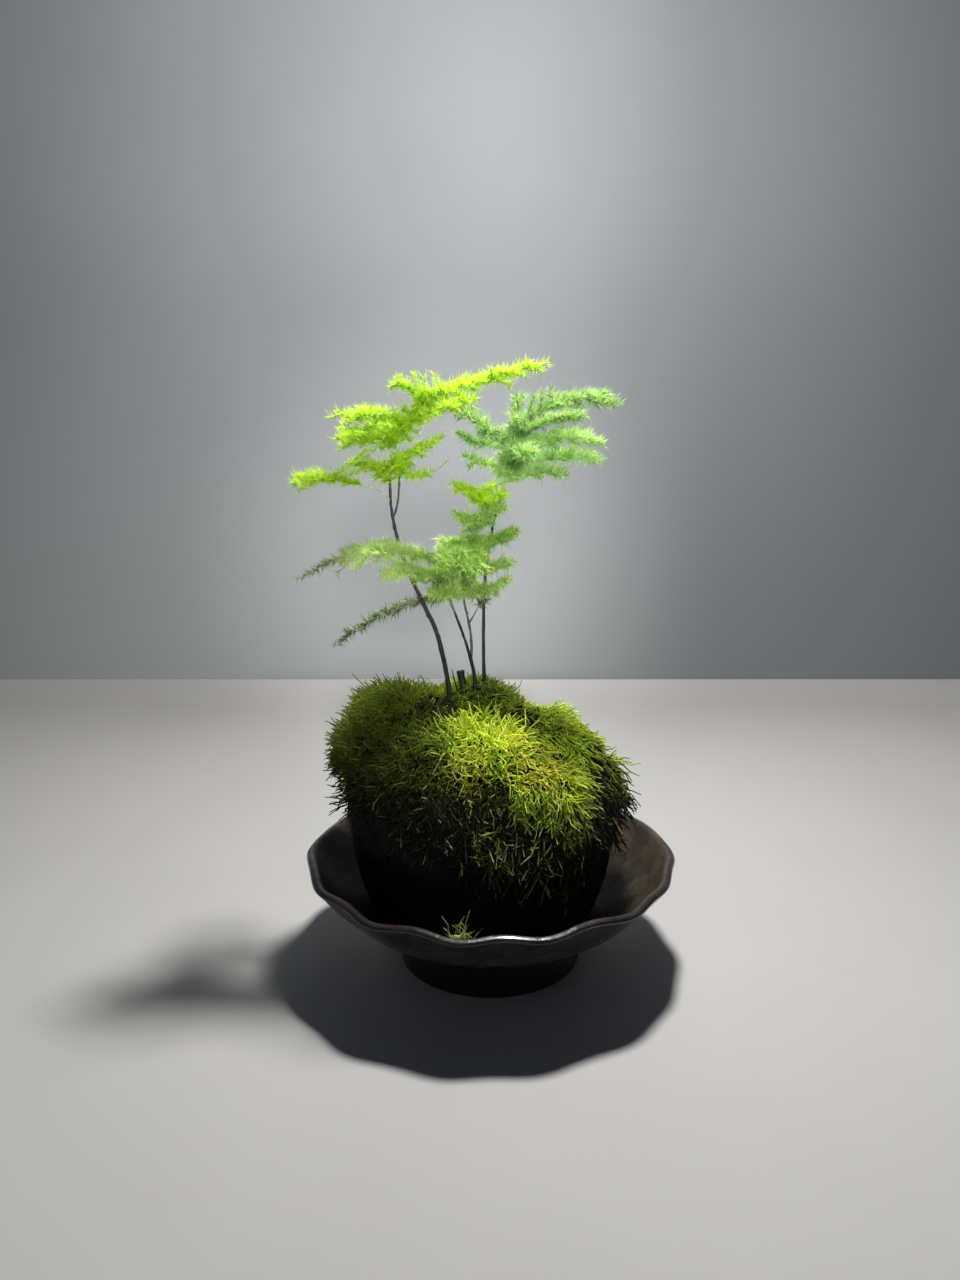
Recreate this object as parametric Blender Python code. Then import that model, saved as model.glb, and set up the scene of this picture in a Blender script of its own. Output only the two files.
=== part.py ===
"""Lava rock bonsai: an asparagus fern growing out of a mossy lava rock that stands in a fluted stoneware bowl.

Millimetres below, turned to metres by MM where a mesh is made. +Z is up, the origin is the middle of the
bowl's foot on the surface that it stands on, and the bonsai's front faces -Y.
"""

import math

import bmesh
import bpy
from mathutils import Vector, noise

MM = 0.001
GAP = 0.3  # the clearance that separate pieces keep where they rest on each other

# Bowl: a turned foot and belly, and a rim pinched into flutes by hand
BOWL_SEGMENTS = 72
FOOT_RADIUS = 36.5
FOOT_HEIGHT = 13.0
FOOT_RECESS = 7.0
FLOOR_HEIGHT = 15.5
RIM_RADIUS = 74.2
RIM_HEIGHT = 45.4
RIM_TILT = 0.5
FLUTE_OUT = 3.2
FLUTE_DOWN = 1.7
FLUTE_SPREAD = 9.5
FLUTE_MEAN = 0.45
# angle of each flute's crest in degrees, anticlockwise from +X, and its strength
FLUTES = (
    (-150, 0.6), (-124, 1.0), (-99, 1.1), (-76, 1.0), (-48, 0.85), (-28, 0.55), (-3, 0.5),
    (24, 0.7), (50, 0.9), (76, 1.0), (101, 1.0), (125, 0.9), (149, 0.8), (179, 0.6),
)

# Rock: a blocky lump on a flat seat, steep and high on its left. Each bearing, in degrees anticlockwise
# from +X, has the (distance from the Z axis, height) that the surface passes, from the seat upwards.
ROCK_CENTRE = Vector((-2.0, 0.0, 56.0))
ROCK_SIDES = {
    0: ((41, 22), (46, 36), (49, 50), (50.5, 62), (50.5, 72), (47.5, 82), (42, 90), (32, 95.5)),
    45: ((39, 24), (44, 40), (46, 56), (46, 68), (43, 80), (36, 89), (26, 97)),
    90: ((38, 24), (42, 40), (44, 56), (43, 70), (39, 84), (30, 94), (19, 103)),
    135: ((42, 24), (47, 40), (50, 58), (50, 74), (47, 88), (39, 98), (27, 104)),
    180: ((46, 22), (52, 38), (55, 52), (56, 66), (56, 78), (54, 90), (49, 99.5), (41, 106), (30, 107)),
    225: ((41, 24), (46, 40), (49, 56), (50, 72), (48, 84), (41, 94), (29, 99)),
    270: ((38, 24), (42, 38), (44, 52), (44, 66), (41.5, 80), (34, 91), (22, 97)),
    315: ((40, 24), (45, 40), (48, 54), (49, 64), (46, 75), (39, 84), (27, 92)),
}
ROCK_CROWN = ((-20, 0, 105), (-12, 14, 106), (0, 10, 107.5), (12, 9, 103), (-8, -8, 102), (8, -8, 99))
ROCK_EASING = 0.17  # how far, as a share of the radius, each of those points blends with the next
ROCK_ROUGHNESS = 0.03
SEAT_RADIUS, SEAT_CHAMFER = 26.0, 0.36

# Planting pocket in the rock's top, and the soil plug that fills it
POCKET_AT = Vector((-9.0, 3.0, 0.0))
POCKET_FLOOR, SOIL_TOP = 74.0, 99.5
POCKET_RADIUS, POCKET_FLARE = 10.5, 0.09  # at the pocket's floor, and how fast it widens upwards
ROOTED_AT = 88.0  # how low the stems reach in the soil

# Moss: pads laid side by side on the rock, from the crown down to an uneven hem
MOSS_THICK, MOSS_EDGE = 6.4, 2.2
PAD_SHRINK = 0.16  # the share of a facet that a pad's edge draws back from its neighbour
MOSS_PADS = {
    "moss_pad_crown": (-0.13, 0.16, 0.98),
    "moss_pad_left_shoulder": (-0.72, 0.12, 0.68),
    "moss_pad_front_crest": (-0.10, -0.52, 0.85),
    "moss_pad_right_shoulder": (0.62, 0.02, 0.78),
    "moss_pad_left_cheek": (-0.78, -0.58, 0.30),
    "moss_pad_front_left": (-0.30, -0.92, 0.32),
    "moss_pad_right_cheek": (0.60, -0.68, 0.42),
    "moss_pad_front_apron": (0.28, -0.95, 0.06),
    "moss_pad_right_edge": (0.96, -0.05, 0.26),
    "moss_pad_back_right": (0.50, 0.80, 0.42),
    "moss_pad_back_left": (-0.42, 0.84, 0.40),
}
# height of the moss's lower edge at each bearing in degrees, anticlockwise from +X
MOSS_HEM = (
    (0, 62), (40, 64), (90, 56), (140, 64), (180, 79), (212, 70), (245, 62), (272, 52), (305, 47), (335, 56)
)

# Stems: points along each axis with the radius there, from the root up
STEM_SIDES = 7
STEMS = {
    "left_stem": (
        ((-15.0, 1.0, ROOTED_AT), 1.10), ((-16.2, 0.6, 104), 1.15), ((-16.6, 0.2, 113), 1.15),
        ((-18.8, -1, 126), 1.05), ((-21.4, -1.5, 136), 1.0), ((-24.5, -1.5, 143), 0.95),
        ((-29.4, -1.5, 153.5), 0.88), ((-33.2, -1.5, 163), 0.80), ((-36.1, -1.5, 173), 0.75),
        ((-37.5, -1.5, 180), 0.72), ((-38.2, -1.5, 187), 0.62), ((-38.2, -1, 197), 0.58),
        ((-37.0, -0.5, 205), 0.52), ((-33.0, 0, 213), 0.46), ((-28.0, 0, 219), 0.42), ((-23.0, 0, 225), 0.36),
    ),
    "middle_stem": (
        ((-6.4, 3.0, ROOTED_AT), 0.85), ((-6.2, 3.0, 104), 0.85), ((-6.4, 3.0, 116), 0.85),
        ((-7.9, 2.2, 124), 0.82), ((-10.2, 1.2, 132), 0.62), ((-13.2, 0.5, 140.5), 0.58),
        ((-15.6, 0.0, 147), 0.54), ((-17.2, -0.6, 153), 0.50), ((-17.4, -1.0, 160), 0.42),
    ),
    "right_stem": (
        ((-2.4, 6.0, ROOTED_AT), 0.80), ((-2.4, 6.0, 104), 0.80), ((-2.6, 6.0, 117), 0.80),
        ((-2.8, 5.5, 137), 0.72), ((-2.1, 5.0, 156), 0.68), ((-0.5, 5.0, 168), 0.62), ((1.0, 5.0, 177), 0.60),
        ((3.4, 5.0, 186), 0.55), ((5.9, 5.0, 192.5), 0.52), ((6.8, 5.0, 199), 0.48),
        ((7.4, 5.0, 206), 0.45), ((9.0, 4.5, 210), 0.40), ((11.5, 4.0, 215), 0.36),
    ),
}
# side shoots that are one growth with a stem: the stem, then points along the shoot with its radius
SHOOTS = {
    "left_fork": ("left_stem", (
        ((-37.4, -1.5, 179), 0.50), ((-35.7, -2.6, 184.4), 0.50), ((-34.8, -3.4, 190.5), 0.46), ((-34.4, -3.8, 200.8), 0.40),
    )),
    "left_twig": ("left_stem", (
        ((-38.1, -1.5, 186), 0.36), ((-42.0, -2.8, 189.6), 0.34), ((-49.5, -5.0, 192.2), 0.32),
    )),
    "middle_fork": ("middle_stem", (
        ((-7.7, 2.4, 123), 0.60), ((-7.6, 2.9, 131), 0.58), ((-8.7, 2.8, 139), 0.54), ((-10.3, 2.4, 146), 0.52),
        ((-10.8, 1.8, 152), 0.50), ((-9.4, 1.2, 161), 0.46), ((-7.0, 0.6, 170), 0.42), ((-4.6, 0.0, 178), 0.38),
        ((-3.4, -0.5, 188.2), 0.32),
    )),
    "middle_twig": ("middle_stem", (
        ((-8.6, 2.8, 138), 0.34), ((-6.6, 2.0, 141.5), 0.32), ((-4.8, 1.0, 145), 0.30),
    )),
    "right_fork": ("right_stem", (
        ((7.3, 5.0, 205), 0.36), ((3.4, 5.2, 208.8), 0.34), ((-0.5, 5.0, 212), 0.30),
    )),
}
CUT_STUMP = (((-10.3, 4.2, 92.0), 1.3), ((-10.4, 4.2, 108), 1.4), ((-11.3, 4.2, 114.5), 1.6), ((-12.0, 4.2, 118.6), 2.1))
DRY_SHOOT = (((-12.6, 7.4, 94.0), 0.42), ((-13.0, 7.2, 108), 0.40), ((-14.4, 6.6, 114), 0.34), ((-15.4, 6.2, 118.5), 0.26))

# Fronds: the shoot that carries it, the height where it leaves, its half width, then its middle and tip
FROND_THICK = 1.8
FRONDS = {
    "left_frond_crown_right": ("left_stem", 225.0, 6.5, (-2, -4, 231), (21.5, -6, 236.3)),
    "left_frond_crown_left": ("left_stem", 221.5, 4.5, (-31, -3, 227.6), (-37.5, -5, 228)),
    "left_frond_upper_left": ("left_stem", 214.5, 8.0, (-43.5, -6, 217.5), (-56, -11, 214.2)),
    "left_frond_upper_right": ("left_stem", 216.0, 5.5, (-17, -7, 220.6), (-5, -10, 223.8)),
    "left_frond_back": ("left_stem", 210.5, 7.5, (-40, 13, 214), (-45, 27, 213)),
    "left_frond_middle": ("left_stem", 206.5, 7.0, (-46.5, 1, 210), (-57, 0, 208)),
    "left_frond_inner": ("left_fork", 200.2, 4.0, (-27, -7.5, 205), (-17, -10, 209.8)),
    "left_frond_sparse": ("left_fork", 196.5, 2.6, (-24, -9, 196.2), (-15, -12, 202)),
    "left_frond_low_back": ("left_stem", 194.5, 5.5, (-45.5, 6, 199), (-54, 9, 200.5)),
    "left_frond_low": ("left_twig", 192.0, 5.5, (-61.8, -8, 194.4), (-74, -10, 193)),
    "middle_frond_crown_left": ("middle_fork", 187.6, 4.0, (-8.5, -3, 190.4), (-14, -5, 190)),
    "middle_frond_crown_right": ("middle_fork", 184.5, 3.2, (1.5, -4, 187.8), (6.5, -7, 188.5)),
    "middle_frond_upper_right": ("middle_fork", 178.5, 3.4, (1.0, -4, 182.3), (5.6, -6, 184.4)),
    "middle_frond_upper_left": ("middle_fork", 176.0, 4.0, (-9, -4, 179.6), (-13, -7, 181)),
    "middle_frond_long": ("middle_stem", 160.0, 6.0, (-42, -12, 168.5), (-73.6, -12, 157)),
    "middle_frond_left": ("middle_stem", 155.0, 5.0, (-29, -12, 160), (-41, -18, 159)),
    "middle_frond_front": ("middle_fork", 164.5, 8.0, (-10, -16, 168.5), (-12, -31, 161)),
    "middle_frond_front_right": ("middle_fork", 168.0, 5.0, (2, -9, 172.5), (8.5, -15, 175.5)),
    "middle_frond_right": ("middle_fork", 157.5, 4.5, (0, -7, 161.5), (7, -11, 163)),
    "middle_frond_low_right": ("middle_fork", 150.5, 4.0, (0, -5, 153.4), (7.5, -8, 156.6)),
    "middle_frond_low_front": ("middle_stem", 151.0, 5.0, (-17.5, -11, 153.8), (-15, -21, 151.5)),
    "middle_frond_back": ("middle_fork", 163.0, 7.0, (-12, 14, 167.5), (-17, 29, 165.5)),
    "middle_frond_low_left": ("middle_stem", 148.5, 4.0, (-40, 8, 142.3), (-63.5, 10, 127.7)),
    "middle_frond_grey": ("middle_stem", 152.5, 3.6, (-27, 8, 157), (-37, 11, 159.4)),
    "middle_frond_twig": ("middle_twig", 145.0, 2.4, (-3.4, -2, 147.3), (-2.4, -5, 149.6)),
    "right_frond_crown_right": ("right_stem", 215.0, 6.0, (29, 4, 223.8), (50.5, 3, 222.7)),
    "right_frond_crown_left": ("right_stem", 213.0, 3.4, (10.0, 10, 219.5), (11, 12, 225.5)),
    "right_frond_upper_right": ("right_stem", 209.6, 5.0, (23, -6, 216.2), (36, -10, 216.8)),
    "right_frond_middle_right": ("right_stem", 205.0, 5.5, (26, -4, 209.8), (42.5, -7, 206.4)),
    "right_frond_low_right": ("right_stem", 198.0, 5.5, (26, 7, 203), (44, 6, 201)),
    "right_frond_low_front": ("right_stem", 193.8, 5.0, (18, -3.5, 197.2), (29, -8, 195.6)),
    "right_frond_upper_left": ("right_fork", 212.0, 5.0, (-7, 8.5, 218), (-16, 11, 222)),
    "right_frond_middle_left": ("right_fork", 208.4, 4.0, (-5, 1, 208.2), (-13.4, 0.5, 211.6)),
    "right_frond_low_left": ("right_stem", 196.5, 4.0, (-2.5, 1, 200.3), (-11, -2, 203.3)),
    "right_frond_back": ("right_stem", 202.0, 7.0, (14, 20, 208), (19, 34, 207)),
    "right_frond_front": ("right_stem", 201.0, 6.0, (11, -10, 205), (13, -24, 203)),
}

# A tuft of moss that fell from the rock and stands in the bowl's front
SPRIG_AT = (-10.5, -56.0)
SPRIG_HEIGHT, SPRIG_RADIUS = 13.0, 3.6


def clear_scene():
    for obj in list(bpy.data.objects):
        bpy.data.objects.remove(obj)


def material(name, colour, roughness):
    """A plain Principled finish in linear RGB."""
    made = bpy.data.materials.new(name)
    made.use_nodes = True
    shader = made.node_tree.nodes["Principled BSDF"]
    shader.inputs["Base Color"].default_value = (*colour, 1.0)
    shader.inputs["Roughness"].default_value = roughness
    return made


def add_object(name, mesh_data, finish, smooth_angle=None):
    """A named object from a bmesh in millimetres, facing out."""
    bmesh.ops.recalc_face_normals(mesh_data, faces=mesh_data.faces)
    bmesh.ops.scale(mesh_data, vec=(MM, MM, MM), verts=mesh_data.verts)
    mesh = bpy.data.meshes.new(name)
    mesh_data.to_mesh(mesh)
    mesh_data.free()
    if smooth_angle is not None:
        mesh.shade_smooth()
        mesh.set_sharp_from_angle(angle=math.radians(smooth_angle))
    obj = bpy.data.objects.new(name, mesh)
    bpy.context.scene.collection.objects.link(obj)
    mesh.materials.append(finish)
    return obj


def add_cutter(name, mesh_data, finish):
    """A helper that only cuts: it is left out of the model."""
    cutter = add_object(name, mesh_data, finish)
    cutter.hide_render = True
    cutter.display_type = "WIRE"
    return cutter


def boolean(obj, other, operation):
    modifier = obj.modifiers.new(f"{operation.lower()} {other.name}", "BOOLEAN")
    modifier.operation = operation
    modifier.object = other


# ---------------------------------------------------------------- bowl


def flute(angle):
    """How far the pinched rim stands out at this bearing: 0 is the mean, 1 about a full crest."""
    total = -FLUTE_MEAN
    for crest, strength in FLUTES:
        away = (math.degrees(angle) - crest + 180) % 360 - 180
        total += strength * math.exp(-((away / FLUTE_SPREAD) ** 2))
    return total


def bowl_profile():
    """(radius, height, share of the flutes) from the middle of the underside, up the outside and down the inside."""
    lip = RIM_RADIUS
    top = RIM_HEIGHT
    foot = FOOT_RADIUS
    return (
        (0, FOOT_RECESS, 0), (foot - 6.5, FOOT_RECESS, 0), (foot - 5.0, 0.8, 0), (foot - 4.2, 0, 0),
        (foot - 0.9, 0, 0), (foot, 0.9, 0), (foot + 0.9, FOOT_HEIGHT - 1, 0), (foot + 4.0, FOOT_HEIGHT + 2.2, 0),
        (lip - 24.0, top - 25.4, 0), (lip - 15.0, top - 19.0, 0.10), (lip - 7.6, top - 11.6, 0.35),
        (lip - 2.2, top - 4.6, 0.80), (lip, top - 1.2, 1), (lip - 0.9, top, 1), (lip - 3.0, top - 0.7, 1),
        (lip - 6.4, top - 5.6, 0.80), (lip - 11.8, top - 12.4, 0.35), (lip - 19.0, top - 18.6, 0.10),
        (lip - 27.6, top - 24.2, 0), (lip - 37.0, FLOOR_HEIGHT + 2.2, 0), (lip - 46.0, FLOOR_HEIGHT, 0),
        (0, FLOOR_HEIGHT, 0),
    )


def bowl_point(radius, height, share, angle):
    wave = flute(angle) * share
    reach = radius + FLUTE_OUT * wave
    lift = height - FLUTE_DOWN * wave + RIM_TILT * math.sin(angle) * share
    return Vector((reach * math.cos(angle), reach * math.sin(angle), lift))


def build_bowl(finish):
    bm = bmesh.new()
    rings = []
    for radius, height, share in bowl_profile():
        if radius == 0:
            rings.append([bm.verts.new((0, 0, height))])
            continue
        angles = (2 * math.pi * i / BOWL_SEGMENTS for i in range(BOWL_SEGMENTS))
        rings.append([bm.verts.new(bowl_point(radius, height, share, a)) for a in angles])
    for lower, upper in zip(rings, rings[1:]):
        for i in range(BOWL_SEGMENTS):
            j = (i + 1) % BOWL_SEGMENTS
            if len(lower) == 1:
                bm.faces.new((lower[0], upper[j], upper[i]))
            elif len(upper) == 1:
                bm.faces.new((lower[i], lower[j], upper[0]))
            else:
                bm.faces.new((lower[i], lower[j], upper[j], upper[i]))
    return add_object("bowl", bm, finish, smooth_angle=40)


# ---------------------------------------------------------------- rock


def rock_knots():
    """The direction and distance from the rock's centre of each point that shapes it."""
    points = [Vector(p) for p in ROCK_CROWN]
    for bearing, profile in ROCK_SIDES.items():
        turn = math.radians(bearing)
        points += [Vector((r * math.cos(turn), r * math.sin(turn), z)) for r, z in profile]
    arms = [p - ROCK_CENTRE for p in points] + [Vector((0, 0, -40))]
    return [(arm.normalized(), arm.length) for arm in arms]


ROCK_KNOTS = rock_knots()


def rock_radius(direction):
    """Distance from the rock's centre to its surface in this direction."""
    weights = [math.exp(-(((direction - towards).length / ROCK_EASING) ** 2)) for towards, _ in ROCK_KNOTS]
    radius = sum(w * length for w, (_, length) in zip(weights, ROCK_KNOTS)) / sum(weights)
    return radius * (1 + ROCK_ROUGHNESS * noise.noise(direction * 3.1 + Vector((7.3, 1.9, 4.2))))


def rock_point(direction, lift=0.0):
    """A point on the rock, or lift millimetres above it, never under its flat seat or the chamfer around it."""
    point = ROCK_CENTRE + direction * (rock_radius(direction) + lift)
    chamfer = SEAT_CHAMFER * max(0.0, point.xy.length - SEAT_RADIUS)
    point.z = max(point.z, FLOOR_HEIGHT + GAP + chamfer)
    return point


def unit_sphere():
    """Directions and triangles of an icosphere that the rock and all the moss pads share."""
    bm = bmesh.new()
    bmesh.ops.create_icosphere(bm, subdivisions=4, radius=1.0)
    directions = [v.co.normalized() for v in bm.verts]
    triangles = [tuple(v.index for v in f.verts) for f in bm.faces]
    bm.free()
    return directions, triangles


def pocket(floor, top, inset=0.0):
    """The flaring planting pocket's shape between two heights, inset millimetres smaller all round."""
    low, high = (POCKET_RADIUS + POCKET_FLARE * (z - POCKET_FLOOR) - inset for z in (floor, top))
    bm = bmesh.new()
    bmesh.ops.create_cone(bm, cap_ends=True, segments=14, radius1=low, radius2=high, depth=top - floor)
    bmesh.ops.translate(bm, vec=POCKET_AT + Vector((0, 0, (top + floor) / 2)), verts=bm.verts)
    return bm


def build_rock(directions, triangles, finish):
    bm = bmesh.new()
    verts = [bm.verts.new(rock_point(d)) for d in directions]
    for triangle in triangles:
        bm.faces.new([verts[i] for i in triangle])
    rock = add_object("lava_rock", bm, finish)
    boolean(rock, add_cutter("pocket_cutter", pocket(POCKET_FLOOR, 125), finish), "DIFFERENCE")
    return rock


# ---------------------------------------------------------------- moss


def hem_height(direction):
    """Height of the moss's lower edge at a direction's bearing, eased between the stated bearings."""
    bearing = math.degrees(math.atan2(direction.y, direction.x)) % 360
    stops = (*MOSS_HEM, (360, MOSS_HEM[0][1]))
    for (a, low), (b, high) in zip(stops, stops[1:]):
        if a <= bearing <= b:
            share = (bearing - a) / (b - a)
            share = share * share * (3 - 2 * share)
            return low + (high - low) * share
    return low


def pad_of(direction):
    """The name of the pad that covers this direction, or None below the hem."""
    if rock_point(direction).z < hem_height(direction):
        return None
    wander = Vector((noise.noise(direction * 4), noise.noise(direction * 4 + Vector((9, 0, 0))), 0)) * 0.12
    return min(MOSS_PADS, key=lambda name: (Vector(MOSS_PADS[name]).normalized() - direction - wander).length)


def largest_patch(faces):
    """The largest group of triangles joined by edges, without those that hang on by one corner."""
    groups = []
    left = set(faces)
    while left:
        front = [left.pop()]
        group = set(front)
        while front:
            face = front.pop()
            near = {f for f in left if len(set(f) & set(face)) == 2}
            left -= near
            group |= near
            front += near
        groups.append(group)
    patch = max(groups, key=len)
    while True:
        ragged = set()
        for corner in {i for f in patch for i in f}:
            fan = [f for f in patch if corner in f]
            open_edges = sum(
                1 for f in fan for i in f if i != corner and sum(i in g for g in fan) == 1
            )
            if open_edges > 2:
                ragged |= {min(fan, key=lambda f: sum(len(set(f) & set(g)) == 2 for g in patch))}
        if not ragged:
            return patch
        patch -= ragged


def build_pad(name, faces, directions, finish):
    """One pad of moss: the rock's own facets lifted clear of it, thick in the middle and thin at the edge."""
    faces = sorted(largest_patch(faces))
    corners = sorted({i for f in faces for i in f})
    edges = {}
    for f in faces:
        for a, b in zip(f, f[1:] + f[:1]):
            edges.setdefault(frozenset((a, b)), []).append((a, b))
    rim_edges = [pairs[0] for pairs in edges.values() if len(pairs) == 1]
    rim = {i for pair in rim_edges for i in pair}
    near = {i: {j for e in edges if i in e for j in e if j != i} for i in corners}
    second = {i for i in corners if i not in rim and near[i] & rim}
    bm = bmesh.new()
    under, over = {}, {}
    for i in corners:
        thick = MOSS_EDGE if i in rim else MOSS_THICK * (0.82 if i in second else 1.0)
        thick *= 1 + 0.22 * noise.noise(directions[i] * 5.0)
        low, high = rock_point(directions[i], GAP + 0.1), rock_point(directions[i], GAP + 0.1 + thick)
        if i in rim:
            fan = [j for f in faces if i in f for j in f]
            middle = sum((rock_point(directions[j], GAP + 0.1) for j in fan), Vector()) / len(fan)
            draw_back = (middle - low) * PAD_SHRINK
            low, high = low + draw_back, high + draw_back
        under[i], over[i] = bm.verts.new(low), bm.verts.new(high)
    for f in faces:
        bm.faces.new([over[i] for i in f])
        bm.faces.new([under[i] for i in reversed(f)])
    for a, b in rim_edges:
        bm.faces.new((over[b], over[a], under[a], under[b]))
    return add_object(name, bm, finish)


# ---------------------------------------------------------------- stems and fronds


def tube(path, extra=0.0, sides=STEM_SIDES):
    """A closed tapering tube along (point, radius) pairs, extra millimetres thicker all round."""
    bm = bmesh.new()
    points = [Vector(p) for p, _ in path]
    rings = []
    for i, (point, radius) in enumerate(path):
        along = (points[min(i + 1, len(points) - 1)] - points[max(i - 1, 0)]).normalized()
        side = along.cross(Vector((0, 1, 0))).normalized()
        front = side.cross(along)
        turns = (2 * math.pi * k / sides for k in range(sides))
        ring = [Vector(point) + (side * math.cos(t) + front * math.sin(t)) * (radius + extra) for t in turns]
        rings.append([bm.verts.new(p) for p in ring])
    for lower, upper in zip(rings, rings[1:]):
        for i in range(sides):
            j = (i + 1) % sides
            bm.faces.new((lower[i], lower[j], upper[j], upper[i]))
    bm.faces.new(rings[0])
    bm.faces.new(reversed(rings[-1]))
    return bm


def shoot_path(name):
    return STEMS[name] if name in STEMS else SHOOTS[name][1]


def point_on_shoot(name, height):
    """Centre and radius of a shoot at a height."""
    path = shoot_path(name)
    for (a, ra), (b, rb) in zip(path, path[1:]):
        if a[2] <= height <= b[2]:
            share = (height - a[2]) / (b[2] - a[2])
            return Vector(a).lerp(Vector(b), share), ra + (rb - ra) * share
    return Vector(path[-1][0]), path[-1][1]


def build_stems(finish):
    stems = {name: add_object(name, tube(path), finish, smooth_angle=60) for name, path in STEMS.items()}
    for name, (stem, path) in SHOOTS.items():
        boolean(stems[stem], add_cutter(f"{name}_shape", tube(path), finish), "UNION")
    return stems


def build_frond(name, finish):
    """A frond's outer shape: a flat spray, level across, that swells from its stalk and tapers to its tip."""
    shoot, height, half_width, middle, tip = FRONDS[name]
    start, radius = point_on_shoot(shoot, height)
    middle, tip = Vector(middle), Vector(tip)
    outward = (middle - start).normalized()
    start = start + outward * (radius + GAP + 0.3)
    stations = (
        (0.0, 0.06, 0.25), (0.14, 0.45, 0.75), (0.34, 0.90, 1.0), (0.60, 1.0, 1.0), (0.84, 0.60, 0.8), (1.0, 0.12, 0.35)
    )
    bend = middle * 2 - (start + tip) / 2
    bm = bmesh.new()
    rings = []
    for t, wide, thick in stations:
        point = start * (1 - t) ** 2 + bend * (2 * t * (1 - t)) + tip * t * t
        along = ((bend - start) * (1 - t) + (tip - bend) * t).normalized()
        side = along.cross(Vector((0, 0, 1))).normalized()
        up = side.cross(along)
        w, h = half_width * wide, FROND_THICK * thick
        outline = ((w, 0), (w * 0.6, h), (-w * 0.6, h), (-w, 0), (-w * 0.6, -h), (w * 0.6, -h))
        rings.append([bm.verts.new(point + side * a + up * b) for a, b in outline])
    for lower, upper in zip(rings, rings[1:]):
        for i in range(6):
            j = (i + 1) % 6
            bm.faces.new((lower[i], lower[j], upper[j], upper[i]))
    bm.faces.new(rings[0])
    bm.faces.new(reversed(rings[-1]))
    return add_object(name, bm, finish)


# ---------------------------------------------------------------- fallen sprig


def build_sprig(finish):
    """A small tuft that stands on the bowl's sloping inside."""
    x, y = SPRIG_AT
    angle = math.atan2(y, x)
    reach = math.hypot(x, y)
    profile = bowl_profile()[15:19]
    inside = [bowl_point(radius, height, share, angle) for radius, height, share in profile]
    spans = zip(inside, inside[1:])
    upper, lower = next((a, b) for a, b in spans if a.xy.length >= reach >= b.xy.length)
    slope = (upper.z - lower.z) / (upper.xy.length - lower.xy.length)
    floor = lower.z + slope * (reach - lower.xy.length)
    outward = Vector((math.cos(angle), math.sin(angle), 0))
    bm = bmesh.new()
    rings = []
    for t, wide in ((0, 0.55), (0.25, 1.0), (0.6, 0.8), (1, 0.25)):
        ring = []
        for k in range(7):
            turn = 2 * math.pi * k / 7
            spread = Vector((math.cos(turn), math.sin(turn), 0)) * SPRIG_RADIUS * wide
            climb = max(0.0, slope) * spread.dot(outward) * (1 - t) * 1.05
            ring.append(bm.verts.new(Vector((x, y, floor + 0.9 + climb + SPRIG_HEIGHT * t)) + spread))
        rings.append(ring)
    for lower_ring, upper_ring in zip(rings, rings[1:]):
        for i in range(7):
            j = (i + 1) % 7
            bm.faces.new((lower_ring[i], lower_ring[j], upper_ring[j], upper_ring[i]))
    bm.faces.new(rings[0])
    bm.faces.new(reversed(rings[-1]))
    return add_object("fallen_moss_sprig", bm, finish)


def main():
    clear_scene()
    stoneware = material("dark_stoneware", (0.045, 0.040, 0.036), 0.45)
    basalt = material("lava_stone", (0.018, 0.017, 0.016), 0.9)
    earth = material("potting_soil", (0.030, 0.020, 0.013), 0.95)
    moss = material("green_moss", (0.13, 0.25, 0.02), 0.8)
    bark = material("dark_stem", (0.022, 0.028, 0.012), 0.6)
    foliage = material("fern_foliage", (0.16, 0.40, 0.03), 0.6)

    build_bowl(stoneware)
    directions, triangles = unit_sphere()
    build_rock(directions, triangles, basalt)

    stems = build_stems(bark)
    build_stump = add_object("cut_stump", tube(CUT_STUMP), bark, smooth_angle=60)
    build_dry = add_object("dry_shoot", tube(DRY_SHOOT, sides=5), bark, smooth_angle=60)
    paths = {**STEMS, build_stump.name: CUT_STUMP, build_dry.name: DRY_SHOOT}
    cutters = [add_cutter(f"{name}_hole", tube(path[:4], extra=GAP + 0.1), bark) for name, path in paths.items()]

    soil = add_object("soil_plug", pocket(POCKET_FLOOR + GAP, SOIL_TOP, inset=GAP), earth)
    patches = {name: [] for name in MOSS_PADS}
    for triangle in triangles:
        middle = sum((directions[i] for i in triangle), Vector()).normalized()
        pad = pad_of(middle)
        if pad:
            patches[pad].append(triangle)
    pads = {name: build_pad(name, faces, directions, moss) for name, faces in patches.items()}
    for cutter in cutters:
        boolean(soil, cutter, "DIFFERENCE")
        boolean(pads["moss_pad_crown"], cutter, "DIFFERENCE")

    for name in FRONDS:
        build_frond(name, foliage)
    build_sprig(moss)


main()
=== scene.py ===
"""The looks of the lava rock bonsai: glazed stoneware, porous lava, sheet moss and an asparagus fern.

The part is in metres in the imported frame, +Z up and the front towards -Y. Tables and materials count in
millimetres, which MM turns to metres.
"""

import math
import random
from contextlib import contextmanager

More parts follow.
